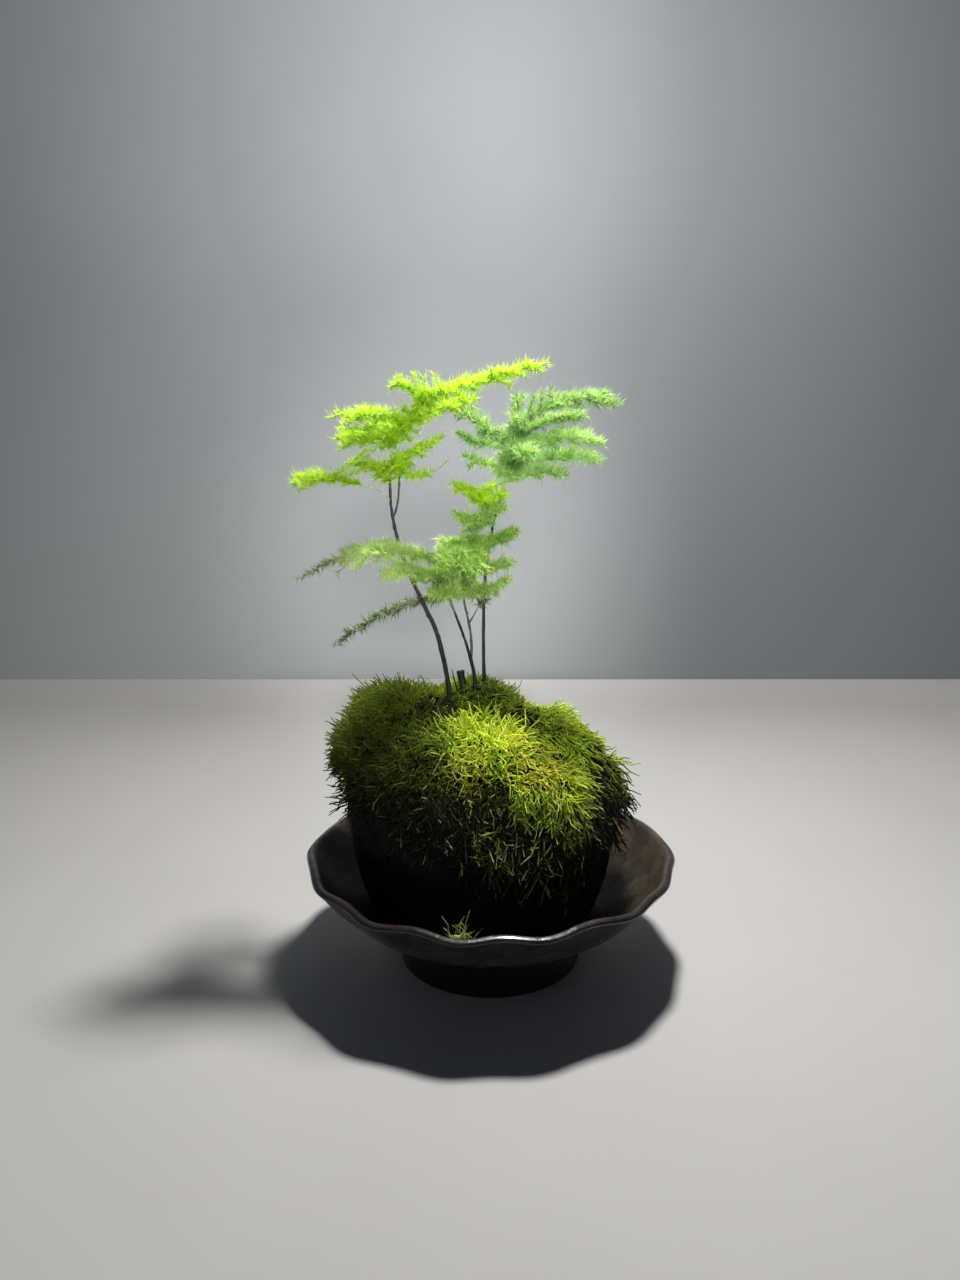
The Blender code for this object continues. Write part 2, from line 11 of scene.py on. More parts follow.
import bmesh
import bpy
import numpy as np
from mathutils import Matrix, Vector


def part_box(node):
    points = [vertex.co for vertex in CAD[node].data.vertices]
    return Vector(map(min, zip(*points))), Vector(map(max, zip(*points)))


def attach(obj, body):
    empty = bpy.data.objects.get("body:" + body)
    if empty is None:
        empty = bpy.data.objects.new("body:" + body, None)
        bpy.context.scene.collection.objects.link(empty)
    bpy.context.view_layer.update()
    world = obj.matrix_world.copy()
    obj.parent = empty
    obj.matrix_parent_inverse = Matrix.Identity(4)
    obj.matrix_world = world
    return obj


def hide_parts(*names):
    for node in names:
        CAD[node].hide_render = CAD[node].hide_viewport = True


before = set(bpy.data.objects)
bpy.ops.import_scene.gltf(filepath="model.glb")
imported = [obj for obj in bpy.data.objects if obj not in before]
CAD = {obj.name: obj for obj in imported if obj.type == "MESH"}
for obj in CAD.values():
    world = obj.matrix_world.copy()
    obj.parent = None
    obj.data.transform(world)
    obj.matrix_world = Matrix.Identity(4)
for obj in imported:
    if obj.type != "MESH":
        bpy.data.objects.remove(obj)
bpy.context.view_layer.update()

MM = 0.001
UP = Vector((0, 0, 1))
FULL_TURN = 6.283  # for random spins

# ---------------------------------------------------------------- sizes shared with the solid model, in mm

FOOT_RADIUS, FOOT_HEIGHT, FOOT_RECESS, FLOOR_HEIGHT = 36.5, 13.0, 7.0, 15.5
RIM_RADIUS, RIM_HEIGHT, RIM_TILT = 74.2, 45.4, 0.5
FLUTE_OUT, FLUTE_DOWN, FLUTE_SPREAD, FLUTE_MEAN = 3.2, 1.7, 9.5, 0.45
FLUTES = (
    (-150, 0.6), (-124, 1.0), (-99, 1.1), (-76, 1.0), (-48, 0.85), (-28, 0.55), (-3, 0.5),
    (24, 0.7), (50, 0.9), (76, 1.0), (101, 1.0), (125, 0.9), (149, 0.8), (179, 0.6),
)
ROCK_CENTRE = Vector((-2.0, 0.0, 56.0))
CROWN = Vector((-8.0, 6.0, 116.0))  # the moss is combed away from here

STEMS = {
    "left_stem": (
        ((-15.0, 1.0, 88), 1.10), ((-16.2, 0.6, 104), 1.15), ((-16.6, 0.2, 113), 1.15),
        ((-18.8, -1, 126), 1.05), ((-21.4, -1.5, 136), 1.0), ((-24.5, -1.5, 143), 0.95),
        ((-29.4, -1.5, 153.5), 0.88), ((-33.2, -1.5, 163), 0.80), ((-36.1, -1.5, 173), 0.75),
        ((-37.5, -1.5, 180), 0.72), ((-38.2, -1.5, 187), 0.62), ((-38.2, -1, 197), 0.58),
        ((-37.0, -0.5, 205), 0.52), ((-33.0, 0, 213), 0.46), ((-28.0, 0, 219), 0.42),
        ((-23.0, 0, 225), 0.36),
    ),
    "middle_stem": (
        ((-6.4, 3.0, 88), 0.85), ((-6.2, 3.0, 104), 0.85), ((-6.4, 3.0, 116), 0.85),
        ((-7.9, 2.2, 124), 0.82), ((-10.2, 1.2, 132), 0.62), ((-13.2, 0.5, 140.5), 0.58),
        ((-15.6, 0.0, 147), 0.54), ((-17.2, -0.6, 153), 0.50), ((-17.4, -1.0, 160), 0.42),
    ),
    "right_stem": (
        ((-2.4, 6.0, 88), 0.80), ((-2.4, 6.0, 104), 0.80), ((-2.6, 6.0, 117), 0.80),
        ((-2.8, 5.5, 137), 0.72), ((-2.1, 5.0, 156), 0.68), ((-0.5, 5.0, 168), 0.62),
        ((1.0, 5.0, 177), 0.60), ((3.4, 5.0, 186), 0.55), ((5.9, 5.0, 192.5), 0.52),
        ((6.8, 5.0, 199), 0.48), ((7.4, 5.0, 206), 0.45), ((9.0, 4.5, 210), 0.40),
        ((11.5, 4.0, 215), 0.36),
    ),
    "cut_stump": (
        ((-10.3, 4.2, 92.0), 1.3), ((-10.4, 4.2, 108), 1.4), ((-11.3, 4.2, 114.5), 1.6),
        ((-12.0, 4.2, 118.6), 2.0),
    ),
    "dry_shoot": (
        ((-12.6, 7.4, 94.0), 0.42), ((-13.0, 7.2, 108), 0.40), ((-14.4, 6.6, 114), 0.34),
        ((-15.4, 6.2, 118.5), 0.26),
    ),
}
SHOOTS = {
    "left_fork": ("left_stem", (
        ((-37.4, -1.5, 179), 0.50), ((-35.7, -2.6, 184.4), 0.50), ((-34.8, -3.4, 190.5), 0.46),
        ((-34.4, -3.8, 200.8), 0.40),
    )),
    "left_twig": ("left_stem", (
        ((-38.1, -1.5, 186), 0.36), ((-42.0, -2.8, 189.6), 0.34), ((-49.5, -5.0, 192.2), 0.32),
    )),
    "middle_fork": ("middle_stem", (
        ((-7.7, 2.4, 123), 0.60), ((-7.6, 2.9, 131), 0.58), ((-8.7, 2.8, 139), 0.54),
        ((-10.3, 2.4, 146), 0.52), ((-10.8, 1.8, 152), 0.50), ((-9.4, 1.2, 161), 0.46),
        ((-7.0, 0.6, 170), 0.42), ((-4.6, 0.0, 178), 0.38), ((-3.4, -0.5, 188.2), 0.32),
    )),
    "middle_twig": ("middle_stem", (
        ((-8.6, 2.8, 138), 0.34), ((-6.6, 2.0, 141.5), 0.32), ((-4.8, 1.0, 145), 0.30),
    )),
    "right_fork": ("right_stem", (
        ((7.3, 5.0, 205), 0.36), ((3.4, 5.2, 208.8), 0.34), ((-0.5, 5.0, 212), 0.30),
    )),
}
# the shoot that carries each frond, the height where it leaves, its half width, then its middle and tip
FRONDS = {
    "left_frond_crown_right": ("left_stem", 225.0, 6.5, (-2, -4, 231), (21.5, -6, 236.3)),
    "left_frond_crown_left": ("left_stem", 221.5, 4.5, (-31, -3, 227.6), (-37.5, -5, 228)),
    "left_frond_upper_left": ("left_stem", 214.5, 8.0, (-43.5, -6, 217.5), (-56, -11, 214.2)),
    "left_frond_upper_right": ("left_stem", 216.0, 5.5, (-17, -7, 220.6), (-5, -10, 223.8)),
    "left_frond_back": ("left_stem", 210.5, 7.5, (-40, 13, 214), (-45, 27, 213)),
    "left_frond_middle": ("left_stem", 206.5, 7.0, (-46.5, 1, 210), (-57, 0, 208)),
    "left_frond_inner": ("left_fork", 200.2, 4.0, (-27, -7.5, 205), (-17, -10, 209.8)),
    "left_frond_sparse": ("left_fork", 196.5, 2.6, (-24, -9, 196.2), (-15, -12, 202)),
    "left_frond_low_back": ("left_stem", 194.5, 5.5, (-45.5, 6, 199), (-54, 9, 200.5)),
    "left_frond_low": ("left_twig", 192.0, 5.5, (-61.8, -8, 194.4), (-74, -10, 193)),
    "middle_frond_crown_left": ("middle_fork", 187.6, 4.0, (-8.5, -3, 190.4), (-14, -5, 190)),
    "middle_frond_crown_right": ("middle_fork", 184.5, 3.2, (1.5, -4, 187.8), (6.5, -7, 188.5)),
    "middle_frond_upper_right": ("middle_fork", 178.5, 3.4, (1.0, -4, 182.3), (5.6, -6, 184.4)),
    "middle_frond_upper_left": ("middle_fork", 176.0, 4.0, (-9, -4, 179.6), (-13, -7, 181)),
    "middle_frond_long": ("middle_stem", 160.0, 6.0, (-42, -12, 168.5), (-73.6, -12, 157)),
    "middle_frond_left": ("middle_stem", 155.0, 5.0, (-29, -12, 160), (-41, -18, 159)),
    "middle_frond_front": ("middle_fork", 164.5, 8.0, (-10, -16, 168.5), (-12, -31, 161)),
    "middle_frond_front_right": ("middle_fork", 168.0, 5.0, (2, -9, 172.5), (8.5, -15, 175.5)),
    "middle_frond_right": ("middle_fork", 157.5, 4.5, (0, -7, 161.5), (7, -11, 163)),
    "middle_frond_low_right": ("middle_fork", 150.5, 4.0, (0, -5, 153.4), (7.5, -8, 156.6)),
    "middle_frond_low_front": ("middle_stem", 151.0, 5.0, (-17.5, -11, 153.8), (-15, -21, 151.5)),
    "middle_frond_back": ("middle_fork", 163.0, 7.0, (-12, 14, 167.5), (-17, 29, 165.5)),
    "middle_frond_low_left": ("middle_stem", 148.5, 4.0, (-40, 8, 142.3), (-63.5, 10, 127.7)),
    "middle_frond_grey": ("middle_stem", 152.5, 3.6, (-27, 8, 157), (-37, 11, 159.4)),
    "middle_frond_twig": ("middle_twig", 145.0, 2.4, (-3.4, -2, 147.3), (-2.4, -5, 149.6)),
    "right_frond_crown_right": ("right_stem", 215.0, 6.0, (29, 4, 223.8), (50.5, 3, 222.7)),
    "right_frond_crown_left": ("right_stem", 213.0, 3.4, (10.0, 10, 219.5), (11, 12, 225.5)),
    "right_frond_upper_right": ("right_stem", 209.6, 5.0, (23, -6, 216.2), (36, -10, 216.8)),
    "right_frond_middle_right": ("right_stem", 205.0, 5.5, (26, -4, 209.8), (42.5, -7, 206.4)),
    "right_frond_low_right": ("right_stem", 198.0, 5.5, (26, 7, 203), (44, 6, 201)),
    "right_frond_low_front": ("right_stem", 193.8, 5.0, (18, -3.5, 197.2), (29, -8, 195.6)),
    "right_frond_upper_left": ("right_fork", 212.0, 5.0, (-7, 8.5, 218), (-16, 11, 222)),
    "right_frond_middle_left": ("right_fork", 208.4, 4.0, (-5, 1, 208.2), (-13.4, 0.5, 211.6)),
    "right_frond_low_left": ("right_stem", 196.5, 4.0, (-2.5, 1, 200.3), (-11, -2, 203.3)),
    "right_frond_back": ("right_stem", 202.0, 7.0, (14, 20, 208), (19, 34, 207)),
    "right_frond_front": ("right_stem", 201.0, 6.0, (11, -10, 205), (13, -24, 203)),
}

# ---------------------------------------------------------------- nodes


def linear(code):
    """An sRGB hex colour as linear RGBA."""
    channels = [int(code[i : i + 2], 16) / 255 for i in (1, 3, 5)]
    return (*[c / 12.92 if c <= 0.04045 else ((c + 0.055) / 1.055) ** 2.4 for c in channels], 1.0)


class Value:
    """A node's output, to reckon with: a step adds a Math node, or a Vector Math node for a vector."""

    def __init__(self, socket):
        self.socket = socket

    def __getitem__(self, output):
        """Another output of the same node."""
        return Value(self.socket.node.outputs[output])

    def is_vector(self):
        return self.socket.type in ("VECTOR", "RGBA")

    def do(self, operation, *others, last=False):
        """The operation on this and the others, with this in the last place if last is set."""
        kind = "ShaderNodeVectorMath" if self.is_vector() else "ShaderNodeMath"
        places = (*others, self) if last else (self, *others)
        return add(self.socket.id_data, kind, *places, operation=operation)

    def __add__(self, other):
        return self.do("ADD", other)

    def __radd__(self, other):
        return self.do("ADD", other, last=True)

    def __sub__(self, other):
        return self.do("SUBTRACT", other)

    def __mul__(self, other):
        """A number's product, or a vector scaled by a number."""
        return self.do("SCALE" if self.is_vector() else "MULTIPLY", other)

    def __rmul__(self, other):
        return self.do("MULTIPLY", other, last=True)

    def __truediv__(self, other):
        return self.do("DIVIDE", other)

    def __rtruediv__(self, other):
        return self.do("DIVIDE", other, last=True)


def feed(node, *by_place, **by_name):
    """Links or sets the inputs that a node has in use. A list of values goes into one input."""
    inputs = [s for s in node.inputs if s.enabled]
    named = {s.name: s for s in reversed(inputs)}
    pairs = list(zip(inputs, by_place))
    pairs += [(named[key.replace("_", " ")], value) for key, value in by_name.items()]
    for socket, values in pairs:
        for value in values if isinstance(values, list) else [values]:
            if isinstance(value, Value):
                node.id_data.links.new(value.socket, socket)
            else:
                hex_code = isinstance(value, str) and value.startswith("#")
                socket.default_value = linear(value) if hex_code else value


def add(tree, kind, *by_place, **named):
    """Adds a node and gives its first output. A name with a capital is an input's, any other a setting's."""
    node = tree.nodes.new(kind)
    for key, value in named.items():
        if key[0].islower():
            setattr(node, key, value)
    feed(node, *by_place, **{key: value for key, value in named.items() if key[0].isupper()})
    return Value(next((s for s in node.outputs if s.enabled), None))


def share(tree, *factors):
    """The product of numbers, values and ramps. A ramp (value, low, high, bottom, top) is an eased step; its
    bottom and top are 0 and 1 where they are left out."""
    product = None
    for factor in factors:
        if isinstance(factor, tuple):
            factor = add(tree, "ShaderNodeMapRange", *factor, interpolation_type="SMOOTHSTEP")
        product = factor if product is None else product * factor
    return product


def coated(tree, ground, *coats):
    """A ground colour under coats of (colour, *factors); a coat covers as far as its factors' share."""
    for colour, *factors in coats:
        ground = add(tree, "ShaderNodeMix", share(tree, *factors), ground, colour, data_type="RGBA")
    return ground


def growing_tree(name, **inputs):
    """A geometry tree with the named inputs of each socket type, and the geometry that comes in. Its places
    are in metres, so a noise's scale is about how many features it has in a metre."""
    tree = bpy.data.node_groups.new(name, "GeometryNodeTree")
    for way in ("INPUT", "OUTPUT"):
        tree.interface.new_socket("Geometry", in_out=way, socket_type="NodeSocketGeometry")
    for kind, labels in inputs.items():
        for label in labels:
            tree.interface.new_socket(label, in_out="INPUT", socket_type=f"NodeSocket{kind}")
    return tree, add(tree, "NodeGroupInput")


def surfaced(tree, geometry, material):
    """Geometry shaded smooth, in one material."""
    smooth = add(tree, "GeometryNodeSetShadeSmooth", geometry)
    return add(tree, "GeometryNodeSetMaterial", smooth, Material=material)


# ---------------------------------------------------------------- objects


def put(name, data):
    """A new object in the scene."""
    made = bpy.data.objects.new(name, data)
    bpy.context.scene.collection.objects.link(made)
    return made


def mesh_object(name, points, edges=(), faces=(), **attributes):
    """A mesh object from points in metres; each attribute is a list of one float a point."""
    mesh = bpy.data.meshes.new(name)
    mesh.from_pydata([tuple(p) for p in points], edges, faces)
    for key, values in attributes.items():
        mesh.attributes.new(key, "FLOAT", "POINT").data.foreach_set("value", np.array(values, np.float32))
    return put(name, mesh)


@contextmanager
def editing(mesh):
    """A mesh's points and faces, open to changes that are kept at the end."""
    bm = bmesh.new()
    bm.from_mesh(mesh)
    yield bm
    bm.to_mesh(mesh)
    bm.free()


def grow(name, source, tree, **sizes):
    """Runs a geometry tree on an object, which it uses up, and returns the result as a plain mesh object."""
    modifier = source.modifiers.new(tree.name, "NODES")
    modifier.node_group = tree
    identifiers = {s.name: s.identifier for s in tree.interface.items_tree if s.in_out == "INPUT"}
    for key, value in sizes.items():
        modifier[identifiers[key.replace("_", " ")]] = value
    graph = bpy.context.evaluated_depsgraph_get()
    grown = source.evaluated_get(graph)
    mesh = bpy.data.meshes.new_from_object(grown, preserve_all_data_layers=True, depsgraph=graph)
    bpy.data.objects.remove(source)
    mesh.name = name
    return put(name, mesh)


def place(piece, slot, *nodes):
    """The finished piece stands for CAD nodes and rides with the part."""
    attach(piece, "root")
    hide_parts(*nodes)


def merged_copy(node):
    """A CAD node's mesh with its loose triangles joined, as its own object."""
    mesh = CAD[node].data.copy()
    with editing(mesh) as bm:
        bmesh.ops.remove_doubles(bm, verts=bm.verts, dist=1e-6)
    mesh.materials.clear()
    return put(f"{node}_copy", mesh)


# ---------------------------------------------------------------- materials
# A noise takes its place, one over the size of its features in mm, its detail and its roughness.


def new_material(name, **values):
    """A Principled material with constant values, its tree, its shader and the place on the part in mm."""
    made = bpy.data.materials.new(name)
    made.use_nodes = True
    tree = made.node_tree
    shader = tree.nodes["Principled BSDF"]
    feed(shader, **values)
    return made, tree, shader, add(tree, "ShaderNodeTexCoord")["Object"] * (1 / MM)


def own(tree, *names):
    """The piece's own attributes of these names."""
    return [add(tree, "ShaderNodeAttribute", attribute_name=name)["Fac"] for name in names]


def iron_glazed_stoneware():
    """Stoneware thrown and pinched by hand under a lean iron glaze: charcoal brown with a dull metallic
    sheen, rust and olive where it pooled, a paler edge where it ran thin, and a bare dark foot."""
    made, tree, shader, spot = new_material(
        "iron_glazed_stoneware", IOR=1.55, Specular_IOR_Level=0.3, Coat_Roughness=0.12
    )
    clouds, pools, wear, gloss, dents = (
        add(tree, "ShaderNodeTexNoise", spot, 1 / size, 4, 0.55) for size in (26, 17, 7, 9, 4.5)
    )
    rust = add(tree, "ShaderNodeTexNoise", spot, 1 / 11, 5, 0.7)
    specks = add(tree, "ShaderNodeTexNoise", spot, 1 / 1.1, 2, 0.55)
    # the rings that throwing left, about 5 mm apart
    throwing_rings = add(
        tree, "ShaderNodeTexWave", spot, 0.062,
        Distortion=2.5, Detail=2.0, Detail_Scale=1.5, bands_direction="Z",
    )["Fac"]
    inner, lip = own(tree, "inside", "lip")
    side = add(tree, "ShaderNodeSeparateXYZ", spot)
    warm = share(tree, inner, (side["X"], 48, 60, 0.0, 0.8))
    bare = share(tree, (side["Z"], 15.5, 12.5))
    colour = coated(
        tree, "#1a1817",
        ("#302c2a", (clouds, 0.38, 0.66)),
        ("#4a3129", 0.55, (rust, 0.55, 0.72)),
        # the inner wall: brown, warmer at the right rim, with olive pools, and painted deep shade
        # lower down, which spares the lit right rim
        ("#2c1a13", 0.75, inner),
        ("#3a2b26", warm),
        ("#464030", inner, (pools, 0.42, 0.6), (side["X"], 20, 60, 0.2, 0.85)),
        ("#0b0a09", 0.7, (specks, 0.62, 0.7)),
        # painted deep shade low in the bowl, where the rock and the moss shade it
        ("#090808", inner - warm, (side["Z"], 48, 34, 0.0, 0.92)),
        ("#4f3c36", 0.12, lip, (wear, 0.34, 0.6, 0.25, 1.0)),
        ("#0d0c0c", bare),
    )
    duller = (inner * 0.5).do("MAXIMUM", bare * 0.75)
    feed(
        shader, Base_Color=colour,
        Roughness=share(tree, (gloss, 0.3, 0.7, 0.26, 0.46)).do("MAXIMUM", duller),
        Coat_Weight=share(tree, (inner, 0.2, 1.0, 0.6, 0.03)),
        Metallic=share(tree, (inner, 0.0, 1.0, 0.25, 0.03)),
        Normal=add(tree, "ShaderNodeBump", Height=throwing_rings * 0.12 + dents, Distance=0.45 * MM),
    )
    return made


def vesicular_basalt():
    """Lava stone, cooled full of gas bubbles: near black, brown on its worn ridges, and quite matt."""
    made, tree, shader, spot = new_material(
        "vesicular_basalt", IOR=1.5, Roughness=0.92, Specular_IOR_Level=0.2
    )
    patches = add(tree, "ShaderNodeTexNoise", spot, 1 / 18, 5, 0.55)
    grit = add(tree, "ShaderNodeTexNoise", spot, 1 / 1.4, 5, 0.7)
    pits = add(tree, "ShaderNodeTexVoronoi", spot, 0.9)  # about 1 mm apart
    ridge, = own(tree, "ridge")
    colour = coated(tree, "#0b0a08", ("#191511", (patches, 0.4, 0.65)), ("#3a312a", 0.6, ridge))
    feed(
        shader, Base_Color=colour,
        Normal=add(tree, "ShaderNodeBump", Height=pits * 0.6 + grit, Distance=0.6 * MM),
    )
    return made


def peat_under_moss():
    """The brown, dead undersides of the moss and the peat they knit together: dark, crumbly and matt."""
    made, tree, shader, spot = new_material("peat_under_moss", Roughness=0.95, Specular_IOR_Level=0.1)
    threads, crumbs = (add(tree, "ShaderNodeTexNoise", spot, 1 / size, 4, 0.55) for size in (1.8, 1.2))
    feed(
        shader, Base_Color=coated(tree, "#0f100a", ("#262310", (threads, 0.4, 0.65))),
        Normal=add(tree, "ShaderNodeBump", Height=crumbs, Distance=0.8 * MM),
    )
    return made


def sheet_moss(name, shade):
    """Living sheet moss: yellow green, with painted light on its mounds and painted shade in its hollows and
    on its left side; olive and brown at its roots, partly painted shade between the strands; straw here and
    there.
    A shade of 1 paints on it the shade at the foot of the moss on the rock, the shadow of the fronds on its
    crown and the light on its crest, and 0 gives moss that has fallen off a paler green, partly painted
    light."""
    made, tree, shader, spot = new_material(
        name, IOR=1.4, Specular_IOR_Level=0.35,
        Subsurface_Weight=0.5, Subsurface_Scale=0.8 * MM, Subsurface_Radius=(0.8, 1.0, 0.2),
    )
    tint, along, mound = own(tree, "tint", "along", "mound")
    clouds = add(tree, "ShaderNodeTexNoise", spot, 1 / 16, 3, 0.55)
    side = add(tree, "ShaderNodeSeparateXYZ", spot)
    x, z = side["X"], side["Z"]
    from_crown, from_crest, from_straw = (
        spot.do("DISTANCE", centre) for centre in ((3, 3, 112), (-9, -42, 93), (17, -32, 91))
    )
    left = share(tree, (x, -10, -36))
    # painted shade at the foot of the mound: it starts higher at both sides, takes most strands, and reaches
    # furthest up at front left
    foot = z + (left * -14 + share(tree, (x, 22, 44, 0, -14)))
    low = share(tree, (foot, 86, 66)) * share(tree, (tint, 0.92, 0.8, 0.2, 0.95)).do("MAXIMUM", left * 0.9)
    # the painted shade also takes the right edge and a low patch just left of the middle
    low = low.do("MAXIMUM", share(tree, (x, 47, 60, 0.0, 0.85)))
    low = low.do("MAXIMUM", share(tree, (x, 1, -7), (z, 88, 78, 0.0, 0.97)))
    # rise lifts the near-black painted shade at the very bottom higher at both sides
    rise = share(tree, (x, 20, 32, 0, 8)) + share(tree, (x, 34, 46, 0, 8)) + share(tree, (x, -2, -12, 0, 17))
    green = coated(
        tree, "#6f9a18",
        ("#a3c41e", (clouds, 0.36, 0.66)),
        # painted light on the mounds
        ("#d8ec34", (mound, 0.1, 1.0)),
        ("#c6d83a", (tint, 0.35, 1.0, 0.0, 0.6)),
        ("#dce26a", (along, 0.6, 1.0, 0.0, 0.35), (tint, 0.1, 0.6)),
        # painted shade in the hollows
        ("#222c0a", (mound, 0.0, -0.9, 0.0, 0.95)),
        # painted shade on the left side, which faces away from the lamp
        ("#414e0e", 0.9, left),
        # the painted shade at the foot, lighter on the strand tips
        ("#0f1405", low, (along, 0.65, 1.0, shade, 0.65 * shade)),
        # pale dry tips hang in front of the painted shade at the foot
        ("#b6bc86", shade, (z, 80, 72), (x, -12, 2, 0.0, 0.6), (along, 0.55, 1.0), (tint, 0.5, 0.8)),
        # near-black painted shade at the very bottom, reaching higher at the sides
        ("#0a0c05", 0.97 * shade, (z - rise, 64, 52)),
        # painted shadow of the fronds on the crown, then painted light on the crest
        ("#28340c", 0.65 * shade, (from_crown, 25, 13)),
        ("#b4b43c", 0.55 * shade, (from_crest, 13, 5)),
        ("#c9a43c", 0.8, (from_straw, 19, 3), (tint, 0.2, 0.6)),
        # the fallen moss's paler green: partly its own, partly painted light, as the moss above shades it
        ("#e2ee9c", 0.6 - 0.6 * shade),
        # dry straw strands, fewer in the painted shade at the left
        ("#cfc07c", 0.75, (tint, 0.94, 0.96), (left, 1.0, 0.4, 0.25, 1.0)),
    )
    feed(
        # darker towards the roots: partly older growth, partly painted shade between the strands
        shader, Base_Color=coated(tree, "#232b0b", (green, (along, 0.0, 0.5))),
        Roughness=share(tree, (tint, 0.0, 1.0, 0.75, 0.45)),
    )
    return made


def fern_stem():
    """Stems of an asparagus fern: green black and woody at the foot, paler green where they are young."""
    made, tree, shader, spot = new_material("fern_stem", IOR=1.45, Roughness=0.55)
    mottling, skin = (add(tree, "ShaderNodeTexNoise", spot, 1 / size, 3, 0.55) for size in (2.2, 0.9))
    scars = add(tree, "ShaderNodeTexNoise", spot, 1 / 7, 2, 0.55)
    mottled = share(tree, (mottling, 0.4, 0.65))
    old = coated(tree, "#0b0d08", ("#1d2212", mottled), ("#7d6c4b", 0.6, (scars, 0.62, 0.7)))
    fresh = coated(tree, "#94ad70", ("#d0dcb4", mottled))
    feed(
        shader, Base_Color=coated(tree, old, (fresh, *own(tree, "young"))),
        Normal=add(tree, "ShaderNodeBump", Height=skin, Distance=0.25 * MM),
    )
    return made


def fern_cladodes(name, deep, light, tip, ageing=0.0, joint_painted_light=0.0):
    """Cladodes, the needle-like shoots that serve the fern as leaves: soft, matt, lighter towards their
    ends, with painted shade towards their bases. Ageing greys the far left tips, just inside which they are
    palest, and joint_painted_light paints light round the right stem's joint, which the fronds above shade."""
    made, tree, shader, spot = new_material(
        name, IOR=1.4, Specular_IOR_Level=0.4,
        Subsurface_Weight=0.7, Subsurface_Scale=0.8 * MM, Subsurface_Radius=(0.8, 1.0, 0.3),
    )
    tint, along = own(tree, "tint", "along")
    patches = add(tree, "ShaderNodeTexNoise", spot, 1 / 9, 2, 0.55)
    from_joint = spot.do("DISTANCE", (7.2, 3, 198))
    x = add(tree, "ShaderNodeSeparateXYZ", spot)["X"]
    colour = coated(
        tree, deep,
        # random tone, with painted shade darkening each needle towards its base
        (light, (tint, 0.0, 1.0, 0.1, 1.0), (along, 0.0, 0.8, 0.35, 1.0)),
        (tip, 0.35, (patches, 0.4, 0.7)),
        # painted light round the right stem's joint
        ("#b0e074", (from_joint, 16, 8, 0.0, joint_painted_light)),
        ("#d6f48a", (x, -22, -36, 0.0, 0.32 * ageing)),
        ("#66724c", (x, -46, -64, 0.0, ageing)),
    )
    feed(shader, Base_Color=colour, Roughness=share(tree, (tint, 0.0, 1.0, 0.65, 0.4)))
    return made


def peat_soil():
    """Peat and fine roots: near black brown crumbs of 1 to 2 mm."""
    made, tree, shader, spot = new_material("peat_soil", Roughness=0.95, Specular_IOR_Level=0.1)
    crumbs = add(tree, "ShaderNodeTexVoronoi", spot, 0.65)
    feed(
        shader, Base_Color=coated(tree, "#2c2016", ("#110c08", (crumbs, 0.1, 0.6))),
        Normal=add(tree, "ShaderNodeBump", Height=crumbs, Distance=0.9 * MM),
    )
    return made


# ---------------------------------------------------------------- bowl


def bowl_outline():
    """(radius, height, share of the flutes, lip, inside) along the bowl's section, from under its middle."""
    lip, top, foot = RIM_RADIUS, RIM_HEIGHT, FOOT_RADIUS
    return (
        # the foot, with the recess under it
        (0, FOOT_RECESS, 0, 0, 0), (foot - 6.5, FOOT_RECESS, 0, 0, 0), (foot - 5.0, 0.8, 0, 0, 0),
        (foot - 4.2, 0, 0, 0, 0), (foot - 0.9, 0, 0, 0, 0), (foot, 0.9, 0, 0, 0),
        (foot + 0.9, FOOT_HEIGHT - 1, 0, 0, 0), (foot + 4.0, FOOT_HEIGHT + 2.2, 0, 0, 0),
        # the outer wall, up to the lip
        (lip - 24.0, top - 25.4, 0, 0, 0), (lip - 15.0, top - 19.0, 0.10, 0, 0),
        (lip - 7.6, top - 11.6, 0.35, 0, 0), (lip - 2.2, top - 4.6, 0.80, 0.15, 0),
        (lip, top - 1.6, 1, 0.8, 0), (lip - 0.4, top - 0.65, 1, 1, 0), (lip - 2.1, top, 1, 1, 0.5),
        # the inner wall, down to the floor
        (lip - 3.5, top - 0.9, 1, 0.8, 1), (lip - 6.4, top - 5.6, 0.80, 0.1, 1),
        (lip - 11.8, top - 12.4, 0.35, 0, 1), (lip - 19.0, top - 18.6, 0.10, 0, 1),
        (lip - 27.6, top - 24.2, 0, 0, 1), (lip - 37.0, FLOOR_HEIGHT + 2.2, 0, 0, 1),
        (lip - 46.0, FLOOR_HEIGHT, 0, 0, 1), (0, FLOOR_HEIGHT, 0, 0, 1),
    )


def rounded_outline(knots, steps):
    """The section with steps points between knots, rounded with a tight Catmull-Rom spline."""
    tension = 0.32
    rows = np.array(knots, float)
    rounded = []
    for i in range(len(rows) - 1):
        a, b = rows[i], rows[i + 1]
        before, after = rows[max(i - 1, 0)], rows[min(i + 2, len(rows) - 1)]
        span = np.linalg.norm((b - a)[:2])
        leave = (b - before) * tension * min(1.0, span / max(np.linalg.norm((a - before)[:2]), 1e-6))
        arrive = (after - a) * tension * min(1.0, span / max(np.linalg.norm((after - b)[:2]), 1e-6))
        for t in np.arange(steps) / steps:
            h = (2 * t**3 - 3 * t**2 + 1, t**3 - 2 * t**2 + t, -2 * t**3 + 3 * t**2, t**3 - t**2)
            rounded.append(h[0] * a + h[1] * leave + h[2] * b + h[3] * arrive)
    rounded.append(rows[-1])
    rounded = np.array(rounded)
    rounded[:, 0] = np.maximum(rounded[:, 0], 0)
    rounded[:, 1] = np.maximum(rounded[:, 1], 0)
    return rounded


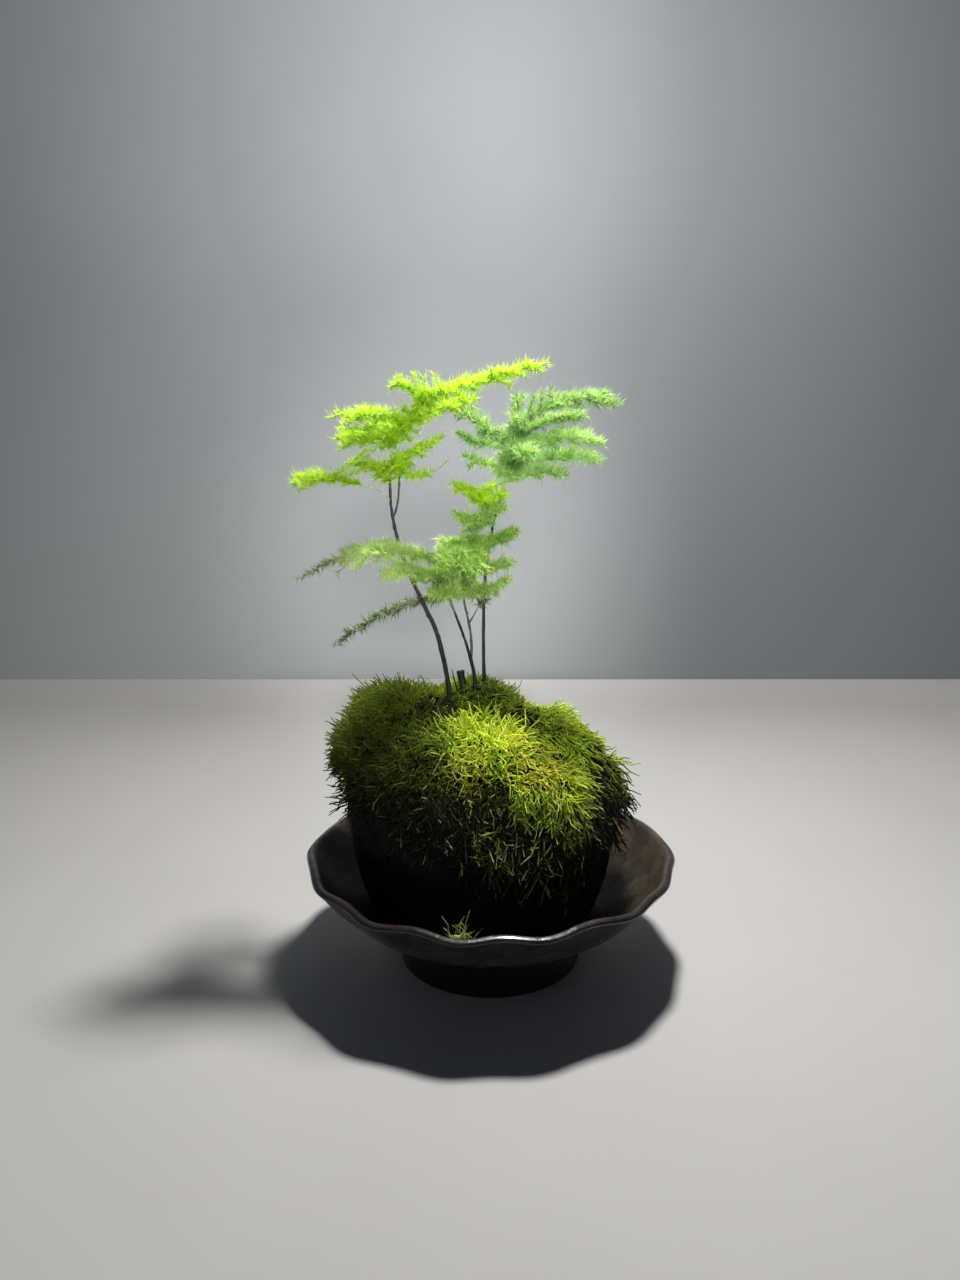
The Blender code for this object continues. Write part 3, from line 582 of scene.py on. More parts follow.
def pinched_bowl_tree():
    """Turns the section round the Z axis and pinches the rim into flutes."""
    tree, section = growing_tree(
        "pinched bowl", Int=["Segments"], Material=["Glaze"],
        Float=["Flute Out", "Flute Down", "Flute Spread", "Rim Tilt", "Wobble"],
    )
    knots = add(tree, "GeometryNodeAttributeDomainSize", section)
    position = add(tree, "GeometryNodeInputPosition")
    shell = add(tree, "GeometryNodeMeshGrid", 1.0, 1.0, knots, section["Segments"] + 1)
    here = add(tree, "ShaderNodeSeparateXYZ", position)
    nearest = ((here["X"] + 0.5) * (knots - 1)).do("ROUND")
    angle = here["Y"] * (2 * math.pi)
    pinched, lip, inside = (
        add(tree, "GeometryNodeSampleIndex", section, value, nearest) for value in [
            add(tree, "GeometryNodeInputNamedAttribute", key) for key in ("share", "lip", "inside")
        ]
    )
    knot = add(tree, "GeometryNodeSampleIndex", section, position, nearest, data_type="FLOAT_VECTOR")
    knot = add(tree, "ShaderNodeSeparateXYZ", knot)
    wave = -FLUTE_MEAN
    for crest, strength in FLUTES:
        away = (angle - math.radians(crest)).do("WRAP", math.pi, -math.pi)
        wave = wave + ((away / section["Flute Spread"]).do("POWER", 2.0) * -1.0).do("EXPONENT") * strength
    wave = wave * pinched
    sine, cosine = angle.do("SINE"), angle.do("COSINE")
    ring = add(tree, "ShaderNodeCombineXYZ", cosine, sine, knot["Z"] * 25.0)
    uneven = (add(tree, "ShaderNodeTexNoise", ring, 2.2, 2.0) - 0.5) * section["Wobble"] * pinched
    reach = knot["X"] + (wave * section["Flute Out"] + uneven)
    level = knot["Z"] - wave * section["Flute Down"] + sine * section["Rim Tilt"] * pinched
    turned = add(tree, "ShaderNodeCombineXYZ", reach * cosine, reach * sine, level)
    for key, value in (("lip", lip), ("inside", inside)):
        shell = add(tree, "GeometryNodeStoreNamedAttribute", shell, Name=key, Value=value)
    shell = add(tree, "GeometryNodeSetPosition", shell, Position=turned)
    shell = add(tree, "GeometryNodeMergeByDistance", shell, Distance=1e-6)
    add(tree, "NodeGroupOutput", surfaced(tree, shell, section["Glaze"]))
    return tree


def make_bowl():
    radius, height, pinched, lip, inside = rounded_outline(bowl_outline(), 4).T
    section = mesh_object(
        "bowl_section", [(r * MM, 0, z * MM) for r, z in zip(radius, height)],
        share=pinched, lip=np.clip(lip, 0, 1), inside=np.clip(inside, 0, 1),
    )
    bowl = grow(
        "fluted_bowl", section, pinched_bowl_tree(), Segments=288, Flute_Out=FLUTE_OUT * MM,
        Flute_Down=FLUTE_DOWN * MM, Flute_Spread=math.radians(FLUTE_SPREAD), Rim_Tilt=RIM_TILT * MM,
        Wobble=1.0 * MM, Glaze=iron_glazed_stoneware(),
    )
    with editing(bowl.data) as bm:
        bmesh.ops.recalc_face_normals(bm, faces=bm.faces)
    place(bowl, "stoneware", "bowl")


# ---------------------------------------------------------------- rock


def lava_tree():
    """Rounds off the stone's facets, then breaks its skin with lumps and gas bubbles of two sizes."""
    tree, stone = growing_tree(
        "lava stone", Int=["Levels"], Float=["Lump Depth", "Pore Depth"], Material=["Stone"]
    )
    skin = add(tree, "GeometryNodeSubdivisionSurface", stone, stone["Levels"])
    where = add(tree, "GeometryNodeInputPosition")
    rise = (add(tree, "ShaderNodeTexNoise", where, 95.0, 5.0, 0.6) - 0.5) * stone["Lump Depth"]
    for size, depth, wide in ((6.2, 1.0, 0.42), (3.4, 0.6, 0.45)):
        bubble = add(tree, "ShaderNodeTexVoronoi", where, 1 / (size * MM))
        rise = rise - share(tree, (bubble, 0.0, wide, 1.0, 0.0)) * (stone["Pore Depth"] * depth)
    # the seat stays flat and clear of the bowl
    height = add(tree, "ShaderNodeSeparateXYZ", where)["Z"]
    low = add(tree, "ShaderNodeMapRange", height, 17.5 * MM, 26 * MM)
    ridge = add(tree, "ShaderNodeMapRange", rise, -0.5 * MM, 0.8 * MM)
    skin = add(tree, "GeometryNodeStoreNamedAttribute", skin, Name="ridge", Value=ridge)
    offset = add(tree, "GeometryNodeInputNormal") * (rise * low)
    skin = add(tree, "GeometryNodeSetPosition", skin, Offset=offset)
    add(tree, "NodeGroupOutput", surfaced(tree, skin, stone["Stone"]))
    return tree


def make_rock():
    rock = grow(
        "porous_lava_rock", merged_copy("lava_rock"), lava_tree(),
        Levels=3, Lump_Depth=2.6 * MM, Pore_Depth=1.5 * MM, Stone=vesicular_basalt(),
    )
    place(rock, "lava_stone", "lava_rock")


# ---------------------------------------------------------------- moss


# mounds (above 0) and hollows (below 0) of the moss: centre, radius, and how strong
MOSS_RELIEF = (
    ((-7, -29, 97), 12, 1.0), ((6, -24, 98), 9, 0.4), ((-36, -6, 112), 14, 0.6),
    ((-23, -27, 92), 9, -1.5), ((-21, -7, 108), 10, -1.7), ((-40, -19, 97), 8, -1.2),
    ((-47, -14, 99), 8, -1.0), ((-11, -42, 81), 13, -2.2), ((-32, -36, 72), 14, -1.6),
    ((0, -35, 78), 8, -1.2), ((47, -20, 66), 14, -1.2), ((-20, -17, 104), 8, -1.2),
    ((4, -15, 107), 7, -0.8), ((10, -9, 107), 10, -0.5), ((24, -34, 84), 9, 0.5),
    ((42, -28, 74), 8, -0.8), ((33, 2, 105), 12, -0.6), ((-1, 5, 115), 14, -0.3),
    ((46, -14, 90), 9, 0.2), ((10, -44, 66), 9, -0.6), ((-30, -20, 101), 8, 0.5), ((54, 2, 80), 7, -0.8),
)


def relief_of(tree, where):
    """The mounds and hollows at a place, with some unevenness of their own."""
    relief = (add(tree, "ShaderNodeTexNoise", where, 85.0, 1.0) - 0.5) * 2.2
    for centre, radius, strength in MOSS_RELIEF:
        away = (where.do("DISTANCE", Vector(centre) * MM) / (radius * MM)).do("POWER", 2.0)
        relief = relief + (away * -1.0).do("EXPONENT") * strength
    return relief


def strand_turn(tree, given, where, normal, tuft):
    """A strand stands off the mat, leans away from the crown, splays out of its tuft and strays a little."""
    away = where - given["Crown"]
    away = away - normal * away.do("DOT_PRODUCT", normal)
    swirl = (add(tree, "ShaderNodeTexNoise", where, 45.0, 1.0)["Color"] - (0.5, 0.5, 0.5)) * 2.2
    combed = away.do("NORMALIZE") + swirl
    spread = (where - tuft["Position"]) * (given["Splay"] / given["Tuft Size"])
    stray = add(
        tree, "FunctionNodeRandomValue", (-1, -1, -1), (1, 1, 1),
        Seed=given["Seed"], data_type="FLOAT_VECTOR",
    )
    aim = normal * given["Stand"] + combed * given["Lean"] + spread + stray * given["Stray"]
    return add(tree, "FunctionNodeAlignRotationToVector", Vector=aim, axis="Z")


def strand_length(tree, given, relief, tuft):
    """It is longest in the heart of its tuft and on the mounds, and one in twenty-five is longer still."""
    heart = add(tree, "ShaderNodeMapRange", tuft, 0.0, 0.75, 1.2, 0.58)
    grown = add(tree, "ShaderNodeMapRange", relief, -1.2, 1.2, 0.35, 1.35)
    chance = add(tree, "FunctionNodeRandomValue", 0.0, 1.0, Seed=21)
    grown = grown * (1.0 + chance.do("GREATER_THAN", 0.96) * 0.6)
    length = add(tree, "FunctionNodeRandomValue", 0.5, 1.15, Seed=5)
    return length * (heart * grown) * given["Strand Length"]


def bent_strands(tree, given, where, strands):
    """Each strand droops, bends to one side and curls, more and more towards its tip."""
    for key, low, high, seed, kind in (
        ("tint", 0.0, 1.0, 3, "FLOAT"), ("sway", (-1, -1, -1), (1, 1, 1), 6, "FLOAT_VECTOR")
    ):
        chance = add(tree, "FunctionNodeRandomValue", low, high, Seed=seed, data_type=kind)
        strands = add(
            tree, "GeometryNodeStoreNamedAttribute", strands,
            Name=key, Value=chance, data_type=kind, domain="CURVE",
        )
    along = add(tree, "GeometryNodeSplineParameter")
    strands = add(tree, "GeometryNodeStoreNamedAttribute", strands, Name="along", Value=along)
    tint = add(tree, "GeometryNodeInputNamedAttribute", "tint")
    sway = add(tree, "GeometryNodeInputNamedAttribute", "sway", data_type="FLOAT_VECTOR")
    square = along * along
    fall = square * (given["Droop"] * given["Strand Length"])
    droop = add(tree, "ShaderNodeVectorMath", (0, 0, -1), fall, operation="SCALE")
    bend = sway * (square * (given["Bend"] * given["Strand Length"]))
    its_own = where + add(tree, "ShaderNodeVectorMath", (7.3, 3.1, 5.7), tint, operation="SCALE")
    curl = add(tree, "ShaderNodeTexNoise", its_own, 300.0, 0.0)["Color"] - (0.5, 0.5, 0.5)
    curl = curl * (along * (given["Curl"] * given["Strand Length"]))
    strands = add(tree, "GeometryNodeSetPosition", strands, Offset=droop + bend + curl)
    three_sided = add(tree, "GeometryNodeCurvePrimitiveCircle", 3, Radius=0.5)
    width = (0.75 + (along * 0.8 - square)) * given["Strand Width"]
    return add(tree, "GeometryNodeCurveToMesh", strands, three_sided, width, Fill_Caps=True)


def moss_tree():
    """Covers a mat with tufts of curved, tapering strands."""
    tree, given = growing_tree(
        "sheet moss", Int=["Joints", "Seed"], Vector=["Crown"], Material=["Moss", "Mat"],
        Float=[
            "Spacing", "Strand Length", "Strand Width", "Tuft Size", "Relief",
            "Stand", "Lean", "Splay", "Stray", "Droop", "Bend", "Curl",
        ],
    )
    outer = add(tree, "GeometryNodeInputNamedAttribute", "outer")
    where = add(tree, "GeometryNodeInputPosition")
    relief = relief_of(tree, where)
    swollen = add(tree, "ShaderNodeClamp", relief, -1.0, 1.0) * given["Relief"] * outer
    mat = add(tree, "GeometryNodeSetPosition", given, Offset=add(tree, "GeometryNodeInputNormal") * swollen)
    roots = add(
        tree, "GeometryNodeDistributePointsOnFaces", mat, outer, distribute_method="POISSON",
        Distance_Min=given["Spacing"], Density_Max=6.0e6, Seed=given["Seed"],
    )
    tuft = add(tree, "ShaderNodeTexVoronoi", where, 1.0 / given["Tuft Size"])
    rooted = add(tree, "GeometryNodeStoreNamedAttribute", roots["Points"], Name="mound", Value=relief)
    straight = add(tree, "GeometryNodeCurvePrimitiveLine", End=(0, 0, 1))
    strands = add(
        tree, "GeometryNodeInstanceOnPoints", rooted,
        Instance=add(tree, "GeometryNodeResampleCurve", straight, Count=given["Joints"]),
        Rotation=strand_turn(tree, given, where, roots["Normal"], tuft),
        Scale=strand_length(tree, given, relief, tuft),
    )
    strands = add(tree, "GeometryNodeRealizeInstances", strands)
    strands = surfaced(tree, bent_strands(tree, given, where, strands), given["Moss"])
    mat = add(tree, "GeometryNodeSetMaterial", mat, Material=given["Mat"])
    add(tree, "NodeGroupOutput", add(tree, "GeometryNodeJoinGeometry", [mat, strands]))
    return tree


PAD_HEIGHT = 6.4
# how much of a pad's height its knitted mat takes; the strands stand in the rest
MAT_SHARE = 0.42
THICK_MATS = {"moss_pad_left_shoulder": 0.85, "moss_pad_crown": 0.65, "moss_pad_left_cheek": 0.6}


def moss_mat(node):
    """A pad's mat: the CAD pad pressed down, with its upper side marked as where strands root."""
    mat = merged_copy(node)
    centre = ROCK_CENTRE * MM
    bare = 1 - THICK_MATS.get(node, MAT_SHARE)
    with editing(mat.data) as bm:
        mark = bm.faces.layers.float.new("outer")
        upper = {f for f in bm.faces if f.normal.dot((f.calc_center_median() - centre).normalized()) > 0.05}
        for f in upper:
            f[mark] = 1.0
        for v in {v for f in upper for v in f.verts}:
            out = (v.co - centre).normalized()
            # the edge of the upper side, where it meets the pad's underside, is pressed down less
            pressed = min(1.0, 0.35 + 0.65 * sum(g in upper for g in v.link_faces) / len(v.link_faces))
            v.co -= out * PAD_HEIGHT * MM * bare * pressed
    return mat


def root_ball():
    """The fallen sprig's mat, a small ball that is bare underneath, and where its strands lean from."""
    low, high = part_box("fallen_moss_sprig")
    middle = (low + high) / 2
    ball = mesh_object("sprig_root", ())
    with editing(ball.data) as bm:
        bmesh.ops.create_icosphere(bm, subdivisions=2, radius=2.2 * MM)
        mark = bm.faces.layers.float.new("outer")
        bmesh.ops.translate(bm, vec=(middle.x, middle.y, low.z + 3.2 * MM), verts=bm.verts)
        for f in bm.faces:
            f[mark] = float(f.normal.z > -0.2)
    return ball, Vector((middle.x, middle.y, high.z + 0.01))


# how moss grows, and where a pad's or the fallen sprig's differs; lengths that MOSS_LENGTHS names are in mm.
# Real moss is finer and denser: its strands are as coarse as they need to be to show
MOSS_LENGTHS = ("Spacing", "Strand_Length", "Strand_Width", "Tuft_Size", "Relief")
MOSS_USUAL = dict(
    Spacing=0.58, Strand_Length=7.0, Strand_Width=0.66, Tuft_Size=9.0, Relief=1.8, Joints=5,
    Stand=0.7, Lean=0.55, Splay=0.8, Stray=0.35, Droop=0.35, Bend=0.3, Curl=0.6,
)
MOSS_HABIT = {
    "moss_pad_crown": dict(Strand_Length=5.4, Stand=1.0, Lean=0.2, Droop=0.12, Curl=0.8),
    "moss_pad_left_shoulder": dict(
        Strand_Length=5.6, Stand=0.9, Lean=0.3, Droop=0.1, Bend=0.6, Curl=1.0, Tuft_Size=8.0
    ),
    "moss_pad_left_cheek": dict(Strand_Length=6.6, Stand=0.9, Lean=0.3, Droop=0.25, Bend=0.6, Curl=0.9),
    "moss_pad_front_left": dict(Strand_Length=6.0, Stand=0.8, Lean=0.4, Droop=0.2, Bend=0.5, Curl=0.8),
    "moss_pad_front_crest": dict(
        Strand_Length=6.4, Stand=0.8, Lean=0.25, Splay=1.1, Droop=0.15, Bend=0.9, Curl=1.6, Tuft_Size=6.5
    ),
    "moss_pad_right_shoulder": dict(Strand_Length=6.4, Stand=0.5, Lean=0.8, Splay=0.6, Droop=0.15, Curl=0.5),
    "moss_pad_right_cheek": dict(
        Strand_Length=8.5, Stand=0.5, Lean=0.9, Splay=0.8, Droop=0.15, Curl=0.5, Tuft_Size=10.0
    ),
    "moss_pad_right_edge": dict(
        Spacing=0.85, Strand_Length=8.0, Stand=0.5, Lean=0.8, Droop=0.5, Bend=0.6, Curl=1.0
    ),
    "moss_pad_front_apron": dict(
        Spacing=0.95, Strand_Width=0.7, Strand_Length=9.5,
        Stand=0.7, Lean=0.6, Stray=0.8, Droop=0.3, Bend=0.7, Curl=0.9,
    ),
    "moss_pad_back_left": dict(Joints=4),
    "moss_pad_back_right": dict(Joints=4),
    "fallen_moss_sprig": dict(
        Spacing=0.7, Strand_Length=12.5, Strand_Width=0.6,
        Stand=0.35, Lean=-1.7, Splay=0.0, Stray=0.3, Droop=0.05, Bend=0.5, Curl=0.8,
    ),
}


def make_moss():
    """The pads on the rock, and the fallen tuft, whose longer strands spread from one small root ball."""
    tree, mat = moss_tree(), peat_under_moss()

    def cover(name, node, source, **given):
        habit = MOSS_USUAL | MOSS_HABIT.get(node, {})
        sizes = {key: value * MM if key in MOSS_LENGTHS else value for key, value in habit.items()}
        place(grow(name, source, tree, Mat=mat, **sizes, **given), "moss", node)

    moss = sheet_moss("sheet_moss", 1.0)
    for seed, node in enumerate(sorted(n for n in CAD if n.startswith("moss_pad"))):
        cover(f"{node}_strands", node, moss_mat(node), Crown=CROWN * MM, Seed=seed, Moss=moss)
    ball, crown = root_ball()
    moss = sheet_moss("fallen_moss", 0.0)
    cover("fallen_moss_tuft", "fallen_moss_sprig", ball, Crown=crown, Seed=31, Moss=moss)


# ---------------------------------------------------------------- stems


def stem_line(name, path):
    """A curve object along a path of (point, radius)."""
    curve = bpy.data.curves.new(name, "CURVE")
    curve.dimensions = "3D"
    spline = curve.splines.new("POLY")
    spline.points.add(len(path) - 1)
    for knot, (point, radius) in zip(spline.points, path):
        knot.co = (*(Vector(point) * MM), 1.0)
        knot.radius = radius * MM
    return put(name, curve)


# stems are drawn a little thinner than their solids
STEM_THINNESS = 0.86


def smooth_path(path, steps=6):
    """More (point, radius) pairs along the same line, on a Catmull-Rom spline."""
    rows = np.array([(*p, r) for p, r in path], float)
    found = []
    for i in range(len(rows) - 1):
        a, b = rows[i], rows[i + 1]
        before, after = rows[max(i - 1, 0)], rows[min(i + 2, len(rows) - 1)]
        first, second, third = b - before, 2 * before - 5 * a + 4 * b - after, 3 * a - before - 3 * b + after
        for t in np.arange(steps) / steps:
            found.append(0.5 * (2 * a + first * t + second * t**2 + third * t**3))
    found.append(rows[-1])
    return [((x, y, z), STEM_THINNESS * r) for x, y, z, r in found]


def stem_tree():
    """Sweeps a stem along its line, with an uneven skin, and sets a small dry scale at each joint."""
    tree, line = growing_tree(
        "fern stem", Int=["Seed"], Material=["Bark"],
        Float=["Joint Spacing", "Young", "Green From", "Green To", "Scale Size"],
    )
    radius = add(tree, "GeometryNodeInputRadius")
    where = add(tree, "GeometryNodeInputPosition")
    round_section = add(tree, "GeometryNodeCurvePrimitiveCircle", 9, Radius=1.0)
    tube = add(tree, "GeometryNodeCurveToMesh", line, round_section, radius, Fill_Caps=True)
    unevenness = (add(tree, "ShaderNodeTexNoise", where, 420.0, 2.0) - 0.5) * (0.7 * MM)
    bulge = add(tree, "GeometryNodeInputNormal") * unevenness
    tube = add(tree, "GeometryNodeSetPosition", tube, Offset=bulge)
    joints = add(tree, "GeometryNodeCurveToPoints", line, Length=line["Joint Spacing"], mode="LENGTH")
    scale = add(tree, "GeometryNodeMeshCone", 5, Radius_Top=0.0, Radius_Bottom=0.34, Depth=1.0)
    scale = add(
        tree, "GeometryNodeTransform", scale, (0.32, 0, 0), (0, math.radians(14), 0), (0.75, 1.0, 1.0)
    )
    spin = add(tree, "FunctionNodeRandomValue", 0.0, FULL_TURN, Seed=line["Seed"])
    spun = add(tree, "FunctionNodeEulerToRotation", add(tree, "ShaderNodeCombineXYZ", Z=spin))
    turn = add(tree, "FunctionNodeRotateRotation", joints["Rotation"], spun, rotation_space="LOCAL")
    size = radius * line["Scale Size"]
    scales = add(tree, "GeometryNodeInstanceOnPoints", joints, Instance=scale, Rotation=turn, Scale=size)
    scales = add(tree, "GeometryNodeRealizeInstances", scales)
    height = add(tree, "ShaderNodeSeparateXYZ", where)["Z"]
    green = add(tree, "ShaderNodeMapRange", height, line["Green From"], line["Green To"])
    green = green.do("MAXIMUM", line["Young"])
    stem = add(tree, "GeometryNodeJoinGeometry", [tube, scales])
    stem = add(tree, "GeometryNodeStoreNamedAttribute", stem, Name="young", Value=green)
    add(tree, "NodeGroupOutput", surfaced(tree, stem, line["Bark"]))
    return tree


def joined(name, pieces):
    """Several mesh objects as one, with their attributes and materials."""
    bpy.ops.object.select_all(action="DESELECT")
    for piece in pieces:
        piece.select_set(True)
    bpy.context.view_layer.objects.active = pieces[0]
    bpy.ops.object.join()
    pieces[0].name = pieces[0].data.name = name
    return pieces[0]


# the heights over which each stem turns from woody to green, which the stump and the dry shoot never do
GREENING = {
    "left_stem": (190, 212), "middle_stem": (140, 172), "right_stem": (180, 200), "cut_stump": (300, 400),
    "dry_shoot": (300, 400),
}
# how green a side shoot is all over
USUAL_YOUTH = 0.1
YOUTH = {"left_twig": 0.7}


def make_stems():
    tree, bark = stem_tree(), fern_stem()
    for seed, (stem, path) in enumerate(STEMS.items()):
        lines = [(path, 0.0)]
        for shoot, (bearer, fork) in SHOOTS.items():
            if bearer == stem:
                lines.append((fork, YOUTH.get(shoot, USUAL_YOUTH)))
        green_from, green_to = GREENING[stem]
        parts = [
            grow(
                f"{stem}_{i}", stem_line(f"{stem}_line", smooth_path(line)), tree,
                Young=young, Green_From=green_from * MM, Green_To=green_to * MM, Joint_Spacing=9 * MM,
                Scale_Size=0.0 if stem == "cut_stump" else 2.4, Seed=seed, Bark=bark,
            )
            for i, (line, young) in enumerate(lines)
        ]
        place(joined(f"{stem}_bark", parts), "stems", stem)


# ---------------------------------------------------------------- fronds


def shoot_at(name, height):
    """The centre of a shoot at a height, in mm."""
    path = STEMS[name] if name in STEMS else SHOOTS[name][1]
    for (a, _), (b, _) in zip(path, path[1:]):
        if a[2] <= height <= b[2]:
            return Vector(a).lerp(Vector(b), (height - a[2]) / (b[2] - a[2]))
    return Vector(path[-1][0])


# how wide a frond is along its midrib, as (place along it, share of its half width)
FROND_OUTLINE = ((0.0, 0.75), (0.14, 0.95), (0.34, 1.0), (0.60, 0.95), (0.84, 0.58), (1.0, 0.12))
# for each stem's fronds: how much wider the twigs spread than the solid frond, and how far needles turn up
FULLNESS = {"left": 1.15, "middle": 1.35, "right": 1.1}
LIFT = {"left": 0.3, "middle": 0.05, "right": 0.25}
# the short twigs that clothe a joint: how many, the shortest, the longest; fronds on long stalks have none
TUFTS = {"left": (12, 3.0, 7.0), "middle": (14, 3.5, 8.5), "right": (9, 3.0, 6.5)}
LONG_STALKS = ("left_frond_low", "middle_frond_low_left", "middle_frond_long", "middle_frond_twig")
# long side twigs of their own
SIDE_SPRAYS = {
    "left_frond_low": (
        ((-59, -8, 195), (-53, -7, 199), (-47, -5, 205)), ((-56, -7, 195), (-50, -6, 197), (-44, -4, 199)),
    ),
    "left_frond_upper_left": (((-38, -4, 212), (-43, -5, 206), (-49, -6, 201)),),
    "left_frond_middle": (
        ((-42, 0, 209), (-47, -3, 212), (-52.5, -5, 213)),
        ((-38, 0, 208.5), (-42, -4, 212), (-46, -7, 213.5)),
    ),
    "left_frond_crown_left": (
        ((-25, -1, 223), (-27, -3, 228), (-28.5, -4, 232)),
        ((-24, -1, 223), (-24.5, -3, 227), (-25, -4, 231)),
        ((-30, -3, 227), (-32.5, -4, 229.5), (-34, -5, 231)),
    ),
    "left_frond_crown_right": (((-18, -2, 227), (-20, -3, 230), (-21, -4, 232)),),
    "right_frond_crown_right": (
        ((14, 4, 217), (15, 4, 221), (16, 3, 225)), ((20, 4, 220), (19, 4, 223), (19, 3, 226)),
        ((25, 4, 222), (23, 3, 225), (22, 2, 227)),
    ),
}
# how far a midrib stops short of its solid frond's tip, to keep its needles inside, where that isn't 1 mm
SHORTER = {"left_frond_upper_left": 8.0}
# where along a frond it thins out, and how leafy it is from there, for the fronds that do
BARE_TIPS = {
    "left_frond_sparse": (0.45, 0.12), "middle_frond_long": (0.55, 0.62),
    "middle_frond_low_left": (0.1, 0.85), "middle_frond_grey": (0.1, 0.7),
}
# along a midrib, and along a side twig
KNOT_SPACING = TWIG_SPACING = 1.5
SUB_TWIG_SPACING = 2.6


def joint_tuft(node, frond, ahead, rng):
    """Short twigs all round the joint that a frond leaves, most of them towards its front."""
    shoot, height = frond[:2]
    number, shortest, longest = TUFTS[node.split("_")[0]]
    lines = []
    for _ in range(0 if node in LONG_STALKS else number):
        around = rng.uniform(-math.pi, math.pi)
        way = Vector((math.cos(around), math.sin(around) * 0.8 - 0.7, rng.uniform(-0.3, 0.9)))
        way = (way + ahead * 0.4).normalized()
        long = rng.uniform(shortest, longest)
        root = shoot_at(shoot, height + rng.uniform(-1.5, 3.0))
        lines.append([
            (root + way * long * e - UP * long * 0.2 * e * e, 0.12 - 0.06 * e, 0.9)
            for e in (0.0, 0.35, 0.7, 1.0)
        ])
    return lines


def forked_twig(base, way, ahead, long, leafiness, rng):
    """A side twig that turns ahead and down, with short twigs of its own to both sides."""

    def at(s):
        return base + way * (long * s) + (ahead * 0.18 - UP * 0.14) * (long * s * s)

    lines = [[(at(s / 4), 0.15 - 0.08 * s / 4, leafiness * (1 - 0.06 * s)) for s in range(5)]]
    for k in range(int(long / SUB_TWIG_SPACING)):
        s = (k + 0.5) * SUB_TWIG_SPACING / long
        if s < 0.8:
            flank = 1 if k % 2 else -1
            sub = way + way.cross(UP).normalized() * flank * 0.9 + UP * rng.uniform(-0.5, 0.6)
            short = max(1.4, 0.45 * long * (1 - s) + 0.8)
            lines.append([
                (at(s) + sub.normalized() * short * e, 0.11 - 0.05 * e, leafiness * (0.95 - 0.3 * e))
                for e in (0.0, 0.5, 1.0)
            ])
    return lines


def twigs_of(node, frond, rng):
    """The frond's midrib and twigs, each a list of (point, radius, leafiness), in a plane that slopes."""
    shoot, height, half_width, middle, tip = frond
    fullness = FULLNESS[node.split("_")[0]]
    start, middle, tip = shoot_at(shoot, height), Vector(middle), Vector(tip)
    tip += (middle - tip).normalized() * SHORTER.get(node, 1.0)
    slope = rng.uniform(0.15, 0.4)
    bend = middle * 2 - (start + tip) / 2
    thin_from, thin_to = BARE_TIPS.get(node, (1.0, 1.0))

    def at(t):
        return start * (1 - t) ** 2 + bend * (2 * t * (1 - t)) + tip * t * t

    def heading(t):
        return ((bend - start) * (1 - t) + (tip - bend) * t).normalized()

    def leafy(t):
        full = float(np.interp(t, (0.0, 0.08, 0.85, 1.0), (0.8, 1.0, 0.9, 0.6)))
        return full * float(np.interp(t, (thin_from, thin_from + 0.1), (1.0, thin_to)))

    length = sum((at((i + 1) / 12) - at(i / 12)).length for i in range(12))
    knots = max(8, round(length / KNOT_SPACING))
    lines = [[(at(i / knots), 0.24 - 0.15 * i / knots, leafy(i / knots)) for i in range(knots + 1)]]
    lines += joint_tuft(node, frond, heading(0.1), rng)
    for path in SIDE_SPRAYS.get(node, ()):
        lines.append([(Vector(p), r * 0.4, 0.9) for p, r in smooth_path([(p, 0.4) for p in path])])
    count = max(5, round(length / TWIG_SPACING))
    for i in range(count):
        t = 0.04 + 0.9 * (i + rng.uniform(-0.3, 0.3)) / count
        if leafy(t) < 0.3:
            continue
        side = 1 if i % 2 else -1
        reach = half_width * fullness * float(np.interp(t, *zip(*FROND_OUTLINE))) * rng.uniform(0.65, 1.1)
        reach *= 0.8 if t > thin_from else 1.0
        ahead = heading(t)
        across = ahead.cross(UP).normalized() * side
        splay = math.radians(rng.gauss(48 - 10 * t, 7))
        rise = slope * across.y + rng.uniform(-0.35, 0.45)
        way = (ahead * math.cos(splay) + across * math.sin(splay) + UP * rise).normalized()
        long = max(1.4, reach - 1.6) / math.sin(splay)
        lines += forked_twig(at(t), way, ahead, long, leafy(t), rng)
    return lines


def twig_lines(name, lines):
    """The twigs as an edge mesh; each line keeps its own points, and each point its radius and leafiness."""
    edges, first = [], 0
    for line in lines:
        edges += [(first + i, first + i + 1) for i in range(len(line) - 1)]
        first += len(line)
    points, radii, leafiness = zip(*(knot for line in lines for knot in line))
    thick = [r * MM for r in radii]
    return mesh_object(name, [Vector(p) * MM for p in points], edges, thick=thick, leafy=leafiness)


def needle_turn(tree, given):
    """Each needle is spun round its twig and tilted off it, then turned a little towards the light."""
    spin = add(tree, "FunctionNodeRandomValue", 0.0, FULL_TURN, Seed=given["Seed"])
    tilt = add(tree, "FunctionNodeRandomValue", 0.55, 1.3, Seed=8)
    turn = add(tree, "GeometryNodeInputNamedAttribute", "turn", data_type="QUATERNION")
    for angle in ({"Z": spin}, {"X": tilt}):
        part = add(tree, "FunctionNodeEulerToRotation", add(tree, "ShaderNodeCombineXYZ", **angle))
        turn = add(tree, "FunctionNodeRotateRotation", turn, part, rotation_space="LOCAL")
    lift = add(tree, "ShaderNodeVectorMath", (0, 0, 1), given["Lift"], operation="SCALE")
    pointing = add(tree, "FunctionNodeRotateVector", (0, 0, 1), turn) + lift
    return add(tree, "FunctionNodeAlignRotationToVector", turn, Vector=pointing, axis="Z")


